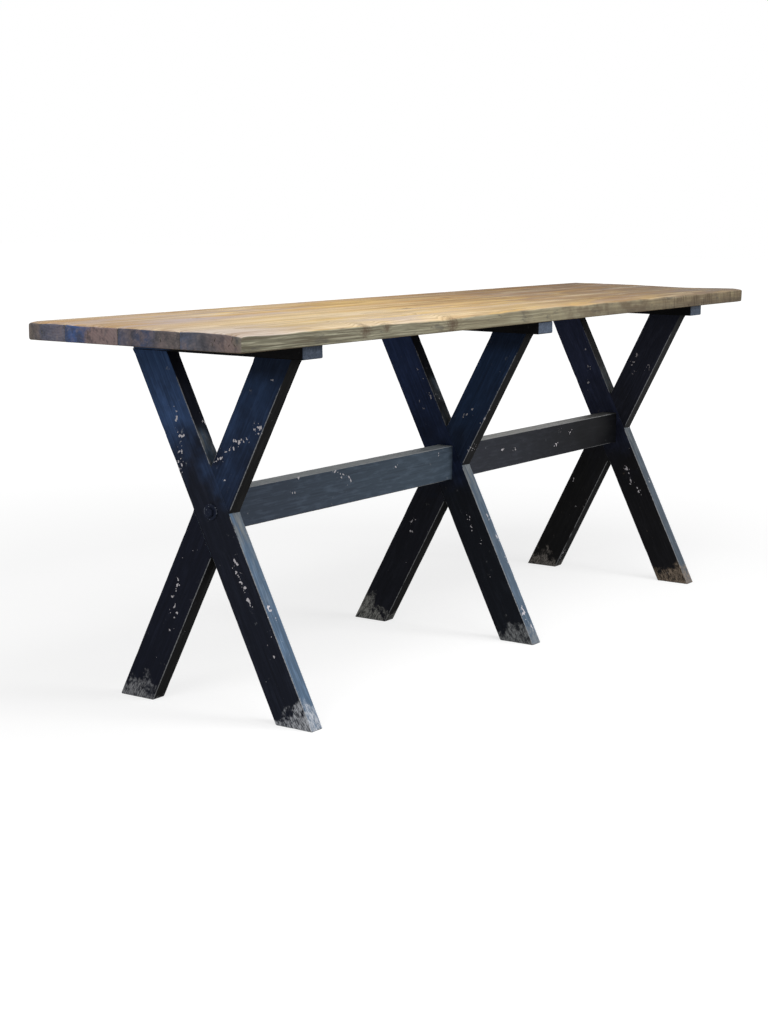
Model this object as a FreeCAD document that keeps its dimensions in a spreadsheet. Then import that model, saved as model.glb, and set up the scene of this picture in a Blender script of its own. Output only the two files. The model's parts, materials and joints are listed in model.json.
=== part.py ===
import FreeCAD, Part
import os
import Sketcher

# A long sawbuck table: a top of four edge-joined boards on three X-shaped trestles.
# Millimetres. X runs along the table, Y from the front edge to the rear edge and Z up.
# The origin lies on the floor under the middle of the top.

SIZES = {
    # Top
    "table_height": 900,
    "top_length": 2530,
    "top_thickness": 40,
    "front_board_width": 162,
    "front_inner_board_width": 172,
    "rear_inner_board_width": 152,
    "rear_board_width": 110,
    "corner_radius": 10,
    "top_arris": 3,
    # Dowels in the edge joints of the top
    "seam_dowel_diameter": 10,
    "seam_dowel_length": 60,
    "seam_dowel_count": 7,
    "seam_dowel_end_margin": 115,
    # Trestles
    "trestle_span": 1962,
    "middle_trestle_offset": 13,
    "leg_thickness": 41,
    "leg_width": 92,
    "leg_top_reach": 178,
    "leg_foot_reach": 233,
    "middle_top_extra": 16,
    "middle_foot_extra": 11,
    "lap_clearance": 0.2,
    "leg_arris": 2.5,
    # Bearers
    "bearer_height": 32,
    "bearer_width": 76,
    "bearer_front_reach": 271,
    "bearer_rear_reach": 212,
    "middle_bearer_extra": 20,
    "bearer_arris": 3,
    # Stretchers
    "stretcher_height": 92,
    "stretcher_thickness": 47,
    "stretcher_arris": 2.5,
    # Crossing bolts, washers, stud and barrel nuts
    "bolt_diameter": 12,
    "bolt_hole_clearance": 1,
    "bolt_head_across_flats": 19,
    "bolt_head_height": 7.5,
    "bolt_head_face_diameter": 18,
    "bolt_tip_chamfer": 1.2,
    "bolt_past_nut": 8,
    "bolt_hole_spare": 6,
    "washer_diameter": 37,
    "washer_thickness": 3,
    "nut_diameter": 20,
    "nut_length": 32,
    "nut_setback": 70,
    "nut_slot_width": 2,
    "nut_slot_depth": 3,
    # Dowels that keep a stretcher from turning
    "joint_dowel_diameter": 10,
    "joint_dowel_in_leg": 15,
    "joint_dowel_in_stretcher": 25,
    "joint_dowel_spacing": 58,
    # Screws from the bearers into the legs and into the boards
    "leg_screw_diameter": 6,
    "leg_screw_head_diameter": 12,
    "leg_screw_grip": 48,
    "leg_screw_spacing": 40,
    "top_screw_diameter": 5,
    "top_screw_head_diameter": 10,
    "top_screw_grip": 24,
    "screw_tip_length": 6,
    # Room round pegs, shanks and nuts in their holes, measured across
    "peg_clearance": 0.2,
}

doc = FreeCAD.newDocument("sawbuck_table")
sheet = doc.addObject("Spreadsheet::Sheet", "Sizes")
for row, (alias, number) in enumerate(SIZES.items(), start=1):
    sheet.set(f"A{row}", alias)
    sheet.set(f"B{row}", str(number))
    sheet.setAlias(f"B{row}", alias)
doc.recompute()

nodes = []


def value(expression):
    """The number that an expression over the sheet has now."""
    return float(sheet.evalExpression(expression))


def size(alias):
    """How an expression names one cell of the sheet."""
    return f"Sizes.{alias}"


# Places that several pieces share
UNDER_TOP = "(Sizes.table_height - Sizes.top_thickness)"
LEG_RISE = "(Sizes.table_height - Sizes.top_thickness - Sizes.bearer_height)"
CROSSING = f"({LEG_RISE} * Sizes.leg_foot_reach / (Sizes.leg_foot_reach + Sizes.leg_top_reach))"
BOLT_REACH = "(Sizes.nut_setback + Sizes.nut_diameter / 2 + Sizes.bolt_past_nut)"
TOP_WIDTH = (
    "(Sizes.front_board_width + Sizes.front_inner_board_width"
    " + Sizes.rear_inner_board_width + Sizes.rear_board_width)"
)
FRONT_EDGE = f"(-{TOP_WIDTH} / 2)"
FRONT_SEAM = f"({FRONT_EDGE} + Sizes.front_board_width)"
MIDDLE_SEAM = f"({FRONT_SEAM} + Sizes.front_inner_board_width)"
REAR_SEAM = f"({MIDDLE_SEAM} + Sizes.rear_inner_board_width)"
REAR_EDGE = f"({TOP_WIDTH} / 2)"
BOARDS = {
    "top_board_front": (FRONT_EDGE, FRONT_SEAM),
    "top_board_front_inner": (FRONT_SEAM, MIDDLE_SEAM),
    "top_board_rear_inner": (MIDDLE_SEAM, REAR_SEAM),
    "top_board_rear": (REAR_SEAM, REAR_EDGE),
}
SEAMS = {
    "seam_dowels_front": FRONT_SEAM,
    "seam_dowels_middle": MIDDLE_SEAM,
    "seam_dowels_rear": REAR_SEAM,
}
TRESTLES = {
    "left": "(-Sizes.trestle_span / 2)",
    "middle": "Sizes.middle_trestle_offset",
    "right": "(Sizes.trestle_span / 2)",
}


def add_body(label):
    """A new body, named after its piece."""
    body = doc.addObject("PartDesign::Body", label)
    body.Label = label
    return body


def place(piece, x="0", y="0", z="0"):
    """Ties a piece's position to the sheet."""
    for axis, expression in zip("xyz", (x, y, z)):
        piece.setExpression(f"Placement.Base.{axis}", expression)


def add_sketch(body, name, plane, offset="0"):
    """A sketch on one of the body's own origin planes, moved along the plane's normal."""
    sketch = body.newObject("Sketcher::SketchObject", f"{body.Name}_{name}")
    support = next(part for part in body.Origin.OriginFeatures if part.Role == plane)
    sketch.AttachmentSupport = [(support, "")]
    sketch.MapMode = "FlatFace"
    sketch.setExpression("AttachmentOffset.Base.z", offset)
    return sketch


def fix_point(sketch, geometry, position, place_of_point):
    """Holds one point of the sketch at two expressions."""
    for kind, expression in zip(("DistanceX", "DistanceY"), place_of_point):
        dimension = Sketcher.Constraint(kind, -1, 1, geometry, position, value(expression))
        index = sketch.addConstraint(dimension)
        sketch.setExpression(f"Constraints[{index}]", expression)


def draw_outline(sketch, corners):
    """A closed outline of straight edges through the corners, each a pair of expressions."""
    points = [FreeCAD.Vector(value(across), value(up), 0) for across, up in corners]
    edges = []
    for start, end in zip(points, points[1:] + points[:1]):
        edges.append(sketch.addGeometry(Part.LineSegment(start, end)))
    for edge, following in zip(edges, edges[1:] + edges[:1]):
        sketch.addConstraint(Sketcher.Constraint("Coincident", edge, 2, following, 1))
    for edge, corner in zip(edges, corners):
        fix_point(sketch, edge, 1, corner)


def draw_rectangle(sketch, low, high):
    """A rectangle between two opposite corners."""
    draw_outline(sketch, [low, (high[0], low[1]), high, (low[0], high[1])])


def draw_circles(sketch, centres, diameter):
    """Circles of one diameter round the centres."""
    for centre in centres:
        middle = FreeCAD.Vector(value(centre[0]), value(centre[1]), 0)
        normal = FreeCAD.Vector(0, 0, 1)
        circle = sketch.addGeometry(Part.Circle(middle, normal, value(diameter) / 2))
        fix_point(sketch, circle, 3, centre)
        index = sketch.addConstraint(Sketcher.Constraint("Diameter", circle, value(diameter)))
        sketch.setExpression(f"Constraints[{index}]", diameter)


def pad(body, sketch, length, side="One side"):
    """Raises a sketch into a solid."""
    feature = body.newObject("PartDesign::Pad", f"{sketch.Name}_pad")
    feature.Profile = sketch
    feature.SideType = side
    feature.setExpression("Length", length)
    sketch.Visibility = False
    doc.recompute()


def pocket(body, sketch, depth, along_normal):
    """Cuts a sketch into the body, and makes sure that wood went away."""
    before = body.Shape.Volume
    feature = body.newObject("PartDesign::Pocket", f"{sketch.Name}_cut")
    feature.Profile = sketch
    feature.Reversed = along_normal
    feature.setExpression("Length", depth)
    doc.recompute()
    if not body.Shape.Volume < before - 1:
        raise RuntimeError(f"{feature.Name} cuts nothing")


def countersink(body, sketch, diameter, head_diameter, from_below):
    """Countersunk holes right through the body, one at each circle of the sketch."""
    before = body.Shape.Volume
    feature = body.newObject("PartDesign::Hole", f"{sketch.Name}_hole")
    feature.Profile = sketch
    feature.Reversed = from_below
    feature.DepthType = "ThroughAll"
    feature.HoleCutType = "Countersink"
    feature.HoleCutCustomValues = True
    feature.setExpression("Diameter", diameter)
    feature.setExpression("HoleCutDiameter", head_diameter)
    feature.HoleCutCountersinkAngle = 90
    doc.recompute()
    if not body.Shape.Volume < before - 1:
        raise RuntimeError(f"{feature.Name} cuts nothing")


def fillet(body, name, radius, wanted):
    """Rounds every edge of the body for which wanted(edge) is true."""
    base = body.Tip
    chosen = []
    for index, edge in enumerate(base.Shape.Edges, start=1):
        if wanted(edge):
            chosen.append(f"Edge{index}")
    feature = body.newObject("PartDesign::Fillet", f"{body.Name}_{name}")
    feature.Base = (base, chosen)
    feature.setExpression("Radius", radius)
    doc.recompute()


def lies_at(edge, axis, level):
    """True for an edge that lies wholly at one level along an axis."""
    near = 0.01
    box = edge.BoundBox
    low, high = {"x": (box.XMin, box.XMax), "y": (box.YMin, box.YMax), "z": (box.ZMin, box.ZMax)}[axis]
    return abs(low - level) < near and abs(high - level) < near


def add_cylinder(name, diameter, length, x, y, z, turn_axis=None):
    """A round bar from a point, upright unless it is turned to point along +X or +Y."""
    bar = doc.addObject("Part::Cylinder", name)
    bar.setExpression("Radius", f"({diameter}) / 2")
    bar.setExpression("Height", length)
    turns = {"x": ((0, 1, 0), 90), "y": ((1, 0, 0), -90)}
    if turn_axis:
        axis, angle = turns[turn_axis]
        bar.Placement = FreeCAD.Placement(FreeCAD.Vector(), FreeCAD.Rotation(FreeCAD.Vector(*axis), angle))
    place(bar, x, y, z)
    return bar


def group(label, pieces):
    """One node that holds several separate solids."""
    holder = doc.addObject("Part::Compound", label)
    holder.Label = label
    holder.Links = pieces
    nodes.append(holder)


def cut(label, stock, tools):
    """Stock less its tools, as a piece of its own."""
    tool = tools[0]
    if len(tools) > 1:
        tool = doc.addObject("Part::MultiFuse", f"{label}_tools")
        tool.Shapes = tools
    piece = doc.addObject("Part::Cut", label)
    piece.Label = label
    piece.Base = stock
    piece.Tool = tool
    return piece


# Where the pegs and screws of the top stand along it and across it
def seam_dowel_places():
    """Even steps along the top, clear of both ends by the margin."""
    count = int(value(size("seam_dowel_count")))
    run = "(Sizes.top_length - 2 * Sizes.seam_dowel_end_margin)"
    return [f"({run} * {step / (count - 1)} - {run} / 2)" for step in range(count)]


def top_screw_rows():
    """The two rows of screws in a bearer, in the middle of its overhang each side of the leg tops."""
    row = "(Sizes.leg_thickness + Sizes.bearer_width) / 4"
    return [f"(-{row})", f"({row})"]


def screw_line(board):
    """The Y of a board's screws, in the middle of what it has over the bearers."""
    front, rear = BOARDS[board]
    first = f"max({front}; -Sizes.bearer_front_reach)"
    last = f"min({rear}; Sizes.bearer_rear_reach)"
    return f"(({first} + {last}) / 2)"


# Boards of the top
def make_board(label):
    """One board, with dowel holes in its jointed edges and screw holes from below over each bearer."""
    front, rear = BOARDS[label]
    outer_edges = [edge for edge in (front, rear) if edge in (FRONT_EDGE, REAR_EDGE)]
    half_length = "(Sizes.top_length / 2)"
    body = add_body(label)
    outline = add_sketch(body, "outline", "XY_Plane", UNDER_TOP)
    draw_rectangle(outline, (f"-{half_length}", front), (half_length, rear))
    pad(body, outline, size("top_thickness"))

    outer_levels = [value(edge) for edge in outer_edges]
    seam_levels = [value(edge) for edge in (front, rear) if edge not in outer_edges]

    def is_corner(edge):
        upright = abs(edge.BoundBox.ZLength - value(size("top_thickness"))) < 0.01
        return upright and any(lies_at(edge, "y", level) for level in outer_levels)

    def is_arris(edge):
        flat = edge.BoundBox.ZLength < 0.01
        return flat and not any(lies_at(edge, "y", level) for level in seam_levels)

    if outer_edges:
        fillet(body, "corners", size("corner_radius"), is_corner)
    fillet(body, "arrises", size("top_arris"), is_arris)

    hole = "Sizes.seam_dowel_diameter + Sizes.peg_clearance"
    depth = "(Sizes.seam_dowel_length + Sizes.peg_clearance) / 2"
    middle_height = f"({UNDER_TOP} + Sizes.top_thickness / 2)"
    for seam, into_rear in ((front, True), (rear, False)):
        if seam in outer_edges:
            continue
        drilled = add_sketch(body, "rear_dowels" if into_rear else "front_dowels", "XZ_Plane", f"-{seam}")
        draw_circles(drilled, [(x, middle_height) for x in seam_dowel_places()], hole)
        pocket(body, drilled, depth, along_normal=not into_rear)

    pilots = add_sketch(body, "pilots", "XY_Plane", UNDER_TOP)
    centres = []
    for trestle_x in TRESTLES.values():
        centres += [(f"({trestle_x} + {row})", screw_line(label)) for row in top_screw_rows()]
    draw_circles(pilots, centres, "Sizes.top_screw_diameter + Sizes.peg_clearance")
    pocket(body, pilots, "Sizes.top_screw_grip + Sizes.peg_clearance", along_normal=True)
    nodes.append(body)


def make_seam_dowels(label):
    """The dowels of one edge joint, half in each board."""
    diameter = size("seam_dowel_diameter")
    length = size("seam_dowel_length")
    start_y = f"{SEAMS[label]} - {length} / 2"
    height = f"{UNDER_TOP} + Sizes.top_thickness / 2"
    pegs = []
    for number, x in enumerate(seam_dowel_places(), start=1):
        pegs.append(add_cylinder(f"{label}_{number}", diameter, length, x, start_y, height, "y"))
    group(label, pegs)


# Legs
def leg_ends(trestle, leg):
    """The Y of a leg's middle at the floor and under the bearer."""
    foot = "Sizes.leg_foot_reach"
    top = "Sizes.leg_top_reach"
    if trestle == "middle" and leg == "rear_leg":
        foot = "(Sizes.leg_foot_reach + Sizes.middle_foot_extra)"
        top = "(Sizes.leg_top_reach + Sizes.middle_top_extra)"
    if leg == "front_leg":
        return f"(-{foot})", top
    return foot, f"(-{top})"


def leg_outline(trestle, leg, room="0"):
    """The four corners of a leaning leg whose foot and top are cut level, with room each side."""
    foot, top = leg_ends(trestle, leg)
    half = f"((Sizes.leg_width / 2 + {room}) * sqrt(1 + (({top} - {foot}) / {LEG_RISE})^2))"
    return [
        (f"{foot} - {half}", "0"),
        (f"{foot} + {half}", "0"),
        (f"{top} + {half}", LEG_RISE),
        (f"{top} - {half}", LEG_RISE),
    ]


def leg_screw_places(trestle, leg):
    """The Y of a leg's two screws, set so that they stay inside the leaning leg over their whole grip."""
    foot, top = leg_ends(trestle, leg)
    middle = f"({top} - ({top} - {foot}) / {LEG_RISE} * Sizes.leg_screw_grip / 2)"
    return [f"({middle} - Sizes.leg_screw_spacing / 2)", f"({middle} + Sizes.leg_screw_spacing / 2)"]


def joint_dowel_heights():
    """The two dowels at a stretcher's end, above and below the bolt."""
    return [f"({CROSSING} - Sizes.joint_dowel_spacing / 2)", f"({CROSSING} + Sizes.joint_dowel_spacing / 2)"]


def make_leg(trestle, leg):
    """A leg with its half lap, bolt hole, dowel holes and screw holes.

    At the crossing the front leg keeps its left half and the rear leg its right half.
    """
    other = "rear_leg" if leg == "front_leg" else "front_leg"
    keeps_left = leg == "front_leg"
    body = add_body(f"{trestle}_{leg}")
    outline = add_sketch(body, "outline", "YZ_Plane")
    draw_outline(outline, leg_outline(trestle, leg))
    pad(body, outline, size("leg_thickness"), "Symmetric")
    top_level = value(LEG_RISE)
    fillet(body, "arrises", size("leg_arris"), lambda edge: not lies_at(edge, "z", top_level))

    lap = add_sketch(body, "lap", "YZ_Plane")
    draw_outline(lap, leg_outline(trestle, other, size("lap_clearance")))
    pocket(body, lap, "Sizes.leg_thickness / 2", along_normal=keeps_left)

    bolt_hole = add_sketch(body, "bolt_hole", "YZ_Plane", "-Sizes.leg_thickness / 2")
    draw_circles(bolt_hole, [("0", CROSSING)], "Sizes.bolt_diameter + Sizes.bolt_hole_clearance")
    pocket(body, bolt_hole, size("leg_thickness"), along_normal=True)

    stretcher_on_right = trestle != "right" and not keeps_left
    stretcher_on_left = trestle != "left" and keeps_left
    if stretcher_on_right or stretcher_on_left:
        side = "" if stretcher_on_right else "-"
        dowels = add_sketch(body, "dowels", "YZ_Plane", f"{side}Sizes.leg_thickness / 2")
        centres = [("0", height) for height in joint_dowel_heights()]
        draw_circles(dowels, centres, "Sizes.joint_dowel_diameter + Sizes.peg_clearance")
        depth = "Sizes.joint_dowel_in_leg + Sizes.peg_clearance"
        pocket(body, dowels, depth, along_normal=stretcher_on_left)

    pilots = add_sketch(body, "pilots", "XY_Plane", LEG_RISE)
    centres = [("0", y) for y in leg_screw_places(trestle, leg)]
    draw_circles(pilots, centres, "Sizes.leg_screw_diameter + Sizes.peg_clearance")
    pocket(body, pilots, "Sizes.leg_screw_grip + Sizes.peg_clearance", along_normal=False)

    place(body, x=TRESTLES[trestle])
    nodes.append(body)


# Bearers
def bearer_front(trestle):
    """How far a bearer reaches towards the front."""
    if trestle == "middle":
        return "(-Sizes.bearer_front_reach - Sizes.middle_bearer_extra)"
    return "(-Sizes.bearer_front_reach)"


def make_bearer(trestle):
    """A flat batten that lies on two leg tops and carries the boards. It stops short of the rear leg edge."""
    body = add_body(f"{trestle}_bearer")
    outline = add_sketch(body, "outline", "XY_Plane", LEG_RISE)
    half_width = "Sizes.bearer_width / 2"
    draw_rectangle(outline, (f"-{half_width}", bearer_front(trestle)), (half_width, size("bearer_rear_reach")))
    pad(body, outline, size("bearer_height"))
    top_level = value(UNDER_TOP)
    fillet(body, "arrises", size("bearer_arris"), lambda edge: not lies_at(edge, "z", top_level))

    leg_screws = add_sketch(body, "leg_screws", "XY_Plane", UNDER_TOP)
    hole = "Sizes.leg_screw_diameter + Sizes.peg_clearance"
    centres = []
    for leg in ("front_leg", "rear_leg"):
        centres += [("0", y) for y in leg_screw_places(trestle, leg)]
    draw_circles(leg_screws, centres, hole)
    head = "Sizes.leg_screw_head_diameter + Sizes.peg_clearance"
    countersink(body, leg_screws, hole, head, from_below=False)

    top_screws = add_sketch(body, "top_screws", "XY_Plane", LEG_RISE)
    hole = "Sizes.top_screw_diameter + Sizes.peg_clearance"
    centres = [(row, screw_line(board)) for row in top_screw_rows() for board in BOARDS]
    draw_circles(top_screws, centres, hole)
    head = "Sizes.top_screw_head_diameter + Sizes.peg_clearance"
    countersink(body, top_screws, hole, head, from_below=True)

    place(body, x=TRESTLES[trestle])
    nodes.append(body)


# Wood screws
def make_screw_pattern(kind):
    """One countersunk screw with its head at the origin and its point straight down."""
    body = add_body(f"{kind}_pattern")
    section = add_sketch(body, "section", "XZ_Plane")
    shank = f"Sizes.{kind}_diameter / 2"
    head = f"Sizes.{kind}_head_diameter / 2"
    length = f"(Sizes.bearer_height + Sizes.{kind}_grip)"
    corners = [
        ("0", "0"),
        (head, "0"),
        (shank, f"{shank} - {head}"),
        (shank, f"Sizes.screw_tip_length - {length}"),
        ("0", f"-{length}"),
    ]
    draw_outline(section, corners)
    turned = body.newObject("PartDesign::Revolution", f"{kind}_turned")
    turned.Profile = section
    turned.ReferenceAxis = (section, ["V_Axis"])
    turned.Angle = 360
    doc.recompute()
    return body


def add_copy(pattern, name, x, y, z, upside_down=False):
    """A copy of a screw at its place."""
    copy = doc.addObject("App::Link", name)
    copy.LinkedObject = pattern
    if upside_down:
        turn = FreeCAD.Rotation(FreeCAD.Vector(1, 0, 0), 180)
        copy.Placement = FreeCAD.Placement(FreeCAD.Vector(), turn)
    place(copy, x, y, z)
    return copy


def make_leg_screws(trestle, pattern):
    """The screws down through a bearer into its two legs."""
    label = f"{trestle}_leg_screws"
    places = leg_screw_places(trestle, "front_leg") + leg_screw_places(trestle, "rear_leg")
    copies = []
    for number, y in enumerate(places, start=1):
        copies.append(add_copy(pattern, f"{label}_{number}", TRESTLES[trestle], y, UNDER_TOP))
    group(label, copies)


def make_top_screws(trestle, pattern):
    """The screws up through a bearer, two into each board."""
    label = f"{trestle}_top_screws"
    copies = []
    for board in BOARDS:
        for row in top_screw_rows():
            name = f"{label}_{len(copies) + 1}"
            x = f"{TRESTLES[trestle]} + {row}"
            copies.append(add_copy(pattern, name, x, screw_line(board), LEG_RISE, upside_down=True))
    group(label, copies)


# Stretchers, and what holds their ends
def make_stretcher(label, left_trestle, right_trestle):
    """A rail between two trestles, bored at both ends for the bolt, its nut and two dowels."""
    length = f"({TRESTLES[right_trestle]} - {TRESTLES[left_trestle]} - Sizes.leg_thickness)"
    half_thickness = "Sizes.stretcher_thickness / 2"
    bottom = f"({CROSSING} - Sizes.stretcher_height / 2)"
    body = add_body(label)
    outline = add_sketch(body, "outline", "YZ_Plane")
    low = (f"-{half_thickness}", bottom)
    draw_rectangle(outline, low, (half_thickness, f"{CROSSING} + Sizes.stretcher_height / 2"))
    pad(body, outline, length)
    run = value(length)
    fillet(body, "arrises", size("stretcher_arris"), lambda edge: abs(edge.BoundBox.XLength - run) < 0.01)

    for end, offset, inward in (("left", "0", True), ("right", length, False)):
        bolt_hole = add_sketch(body, f"{end}_bolt_hole", "YZ_Plane", offset)
        draw_circles(bolt_hole, [("0", CROSSING)], "Sizes.bolt_diameter + Sizes.bolt_hole_clearance")
        pocket(body, bolt_hole, f"{BOLT_REACH} + Sizes.bolt_hole_spare", along_normal=inward)
        dowels = add_sketch(body, f"{end}_dowels", "YZ_Plane", offset)
        centres = [("0", height) for height in joint_dowel_heights()]
        draw_circles(dowels, centres, "Sizes.joint_dowel_diameter + Sizes.peg_clearance")
        pocket(body, dowels, "Sizes.joint_dowel_in_stretcher + Sizes.peg_clearance", along_normal=inward)

    nut_holes = add_sketch(body, "nut_holes", "XY_Plane", bottom)
    centres = [(size("nut_setback"), "0"), (f"{length} - Sizes.nut_setback", "0")]
    draw_circles(nut_holes, centres, "Sizes.nut_diameter + Sizes.peg_clearance")
    depth = "(Sizes.stretcher_height + Sizes.nut_length + Sizes.peg_clearance) / 2"
    pocket(body, nut_holes, depth, along_normal=True)

    place(body, x=f"{TRESTLES[left_trestle]} + Sizes.leg_thickness / 2")
    nodes.append(body)


def make_barrel_nut(label, x):
    """An upright barrel nut with its cross hole and a slot in its lower end for turning it."""
    bottom = f"{CROSSING} - Sizes.nut_length / 2"
    stock = add_cylinder(f"{label}_stock", size("nut_diameter"), size("nut_length"), x, "0", bottom)
    bore = add_cylinder(
        f"{label}_bore",
        "Sizes.bolt_diameter + Sizes.peg_clearance",
        "Sizes.nut_diameter * 2",
        f"{x} - Sizes.nut_diameter",
        "0",
        CROSSING,
        "x",
    )
    slot = doc.addObject("Part::Box", f"{label}_slot")
    slot.setExpression("Length", "Sizes.nut_diameter * 2")
    slot.setExpression("Width", size("nut_slot_width"))
    slot.setExpression("Height", size("nut_slot_depth"))
    place(slot, f"{x} - Sizes.nut_diameter", "-Sizes.nut_slot_width / 2", bottom)
    nodes.append(cut(label, stock, [bore, slot]))


def make_joint_dowels(label, x, leg_on_left):
    """Two dowels across the face where a stretcher meets a leg."""
    in_left = size("joint_dowel_in_leg") if leg_on_left else size("joint_dowel_in_stretcher")
    length = "Sizes.joint_dowel_in_leg + Sizes.joint_dowel_in_stretcher"
    pegs = []
    for number, height in enumerate(joint_dowel_heights(), start=1):
        start_x = f"{x} - {in_left}"
        name = f"{label}_{number}"
        pegs.append(add_cylinder(name, size("joint_dowel_diameter"), length, start_x, "0", height, "x"))
    group(label, pegs)


def chamfer_rims(name, bar, levels):
    """Chamfers the rims of a bar that lie at the given places along X."""
    doc.recompute()
    chamfer_size = value(size("bolt_tip_chamfer"))
    rims = []
    for index, edge in enumerate(bar.Shape.Edges, start=1):
        if any(lies_at(edge, "x", level) for level in levels):
            rims.append((index, chamfer_size, chamfer_size))
    chamfered = doc.addObject("Part::Chamfer", name)
    chamfered.Base = bar
    chamfered.Edges = rims
    return chamfered


def make_bolt(trestle, outward):
    """A hexagon bolt whose head stands on the trestle's outer face. Outward is -1 or 1 along X."""
    label = f"{trestle}_bolt"
    face = f"({TRESTLES[trestle]} + {outward} * Sizes.leg_thickness / 2)"
    seat = f"({face} + {outward} * Sizes.washer_thickness)"
    corner_radius = "(Sizes.bolt_head_across_flats / 2 / cos(30 deg))"
    turn = FreeCAD.Rotation(FreeCAD.Vector(0, 1, 0), 90 * outward)

    head = doc.addObject("Part::Prism", f"{label}_hexagon")
    head.Polygon = 6
    head.setExpression("Circumradius", corner_radius)
    head.setExpression("Height", size("bolt_head_height"))
    head.Placement = FreeCAD.Placement(FreeCAD.Vector(), turn)
    place(head, seat, "0", CROSSING)

    # The cone that takes the corners off the outer end of the head, at thirty degrees
    rounding = doc.addObject("Part::Cone", f"{label}_rounding")
    face_radius = "Sizes.bolt_head_face_diameter / 2"
    rounding.setExpression("Radius1", f"{face_radius} + Sizes.bolt_head_height / tan(30 deg)")
    rounding.setExpression("Radius2", face_radius)
    rounding.setExpression("Height", size("bolt_head_height"))
    rounding.Placement = FreeCAD.Placement(FreeCAD.Vector(), turn)
    place(rounding, seat, "0", CROSSING)
    shaped_head = doc.addObject("Part::Common", f"{label}_head")
    shaped_head.Base = head
    shaped_head.Tool = rounding

    length = f"(Sizes.washer_thickness + Sizes.leg_thickness + {BOLT_REACH})"
    start_x = seat if outward < 0 else f"{seat} - {length}"
    shank = add_cylinder(f"{label}_shank", size("bolt_diameter"), length, start_x, "0", CROSSING, "x")
    tip_x = value(seat) - outward * value(length)
    bolt = doc.addObject("Part::Fuse", label)
    bolt.Label = label
    bolt.Base = shaped_head
    bolt.Tool = chamfer_rims(f"{label}_tip", shank, [tip_x])
    nodes.append(bolt)


def make_washer(trestle, outward):
    """A wide washer under the bolt head."""
    label = f"{trestle}_washer"
    face = f"({TRESTLES[trestle]} + {outward} * Sizes.leg_thickness / 2)"
    start_x = face if outward > 0 else f"{face} - Sizes.washer_thickness"
    disc = add_cylinder(
        f"{label}_disc", size("washer_diameter"), size("washer_thickness"), start_x, "0", CROSSING, "x"
    )
    hole_diameter = "Sizes.bolt_diameter + Sizes.bolt_hole_clearance"
    hole = add_cylinder(f"{label}_hole", hole_diameter, size("washer_thickness"), start_x, "0", CROSSING, "x")
    nodes.append(cut(label, disc, [hole]))


def make_stud():
    """The stud through the middle crossing, with an end in each stretcher."""
    length = f"(Sizes.leg_thickness + 2 * {BOLT_REACH})"
    start_x = f"({TRESTLES['middle']} - {length} / 2)"
    bar = add_cylinder("middle_stud_bar", size("bolt_diameter"), length, start_x, "0", CROSSING, "x")
    stud = chamfer_rims("middle_stud", bar, [value(start_x), value(start_x) + value(length)])
    stud.Label = "middle_stud"
    nodes.append(stud)


# The assembly
for board_name in BOARDS:
    make_board(board_name)
for seam_name in SEAMS:
    make_seam_dowels(seam_name)

leg_screw = make_screw_pattern("leg_screw")
top_screw = make_screw_pattern("top_screw")
for trestle_name in TRESTLES:
    make_leg(trestle_name, "front_leg")
    make_leg(trestle_name, "rear_leg")
    make_bearer(trestle_name)
    make_leg_screws(trestle_name, leg_screw)
    make_top_screws(trestle_name, top_screw)

make_stretcher("left_stretcher", "left", "middle")
make_stretcher("right_stretcher", "middle", "right")
for prefix, trestle_name, outward_side in (
    ("left", "left", 1),
    ("middle_left", "middle", -1),
    ("middle_right", "middle", 1),
    ("right", "right", -1),
):
    joint_face = f"({TRESTLES[trestle_name]} + {outward_side} * Sizes.leg_thickness / 2)"
    make_barrel_nut(f"{prefix}_barrel_nut", f"({joint_face} + {outward_side} * Sizes.nut_setback)")
    make_joint_dowels(f"{prefix}_joint_dowels", joint_face, leg_on_left=outward_side > 0)
make_bolt("left", -1)
make_washer("left", -1)
make_bolt("right", 1)
make_washer("right", 1)
make_stud()
doc.recompute()

# Every object has to be sound before anything is written
for item in doc.Objects:
    if "Invalid" in item.State or "Error" in item.State:
        raise RuntimeError(f"{item.Label} failed: {item.State}")
for piece in nodes:
    if piece.Shape.isNull() or not piece.Shape.isValid() or not piece.Shape.Solids:
        raise RuntimeError(f"{piece.Label} has no sound solid")

os.makedirs("parts", exist_ok=True)
for piece in nodes:
    piece.Shape.exportStep(os.path.join("parts", f"{piece.Label}.step"))
    print(piece.Label, len(piece.Shape.Solids), round(piece.Shape.Volume / 1000), "cm3")
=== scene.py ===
import json
import math
from typing import NamedTuple

import bpy
import numpy as np
from mathutils import Matrix, Vector


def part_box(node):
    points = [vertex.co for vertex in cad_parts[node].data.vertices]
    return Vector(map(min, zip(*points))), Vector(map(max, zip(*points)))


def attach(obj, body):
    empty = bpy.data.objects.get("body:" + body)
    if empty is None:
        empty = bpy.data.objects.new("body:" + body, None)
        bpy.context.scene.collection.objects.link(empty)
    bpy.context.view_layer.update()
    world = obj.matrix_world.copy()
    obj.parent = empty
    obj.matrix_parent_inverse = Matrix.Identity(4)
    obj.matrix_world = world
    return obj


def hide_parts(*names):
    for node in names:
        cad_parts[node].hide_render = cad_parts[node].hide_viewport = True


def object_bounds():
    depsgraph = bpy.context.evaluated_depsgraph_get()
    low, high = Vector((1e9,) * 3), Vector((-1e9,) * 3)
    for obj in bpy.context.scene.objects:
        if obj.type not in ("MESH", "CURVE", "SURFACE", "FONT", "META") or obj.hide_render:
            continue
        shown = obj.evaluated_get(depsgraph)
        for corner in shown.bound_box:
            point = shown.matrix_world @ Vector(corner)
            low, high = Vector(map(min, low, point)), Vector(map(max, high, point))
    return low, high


# A worn sawbuck table in metres: four pine boards on three dark blue trestles.
# X runs along the table, Y from the front edge to the rear edge and Z up.

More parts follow.
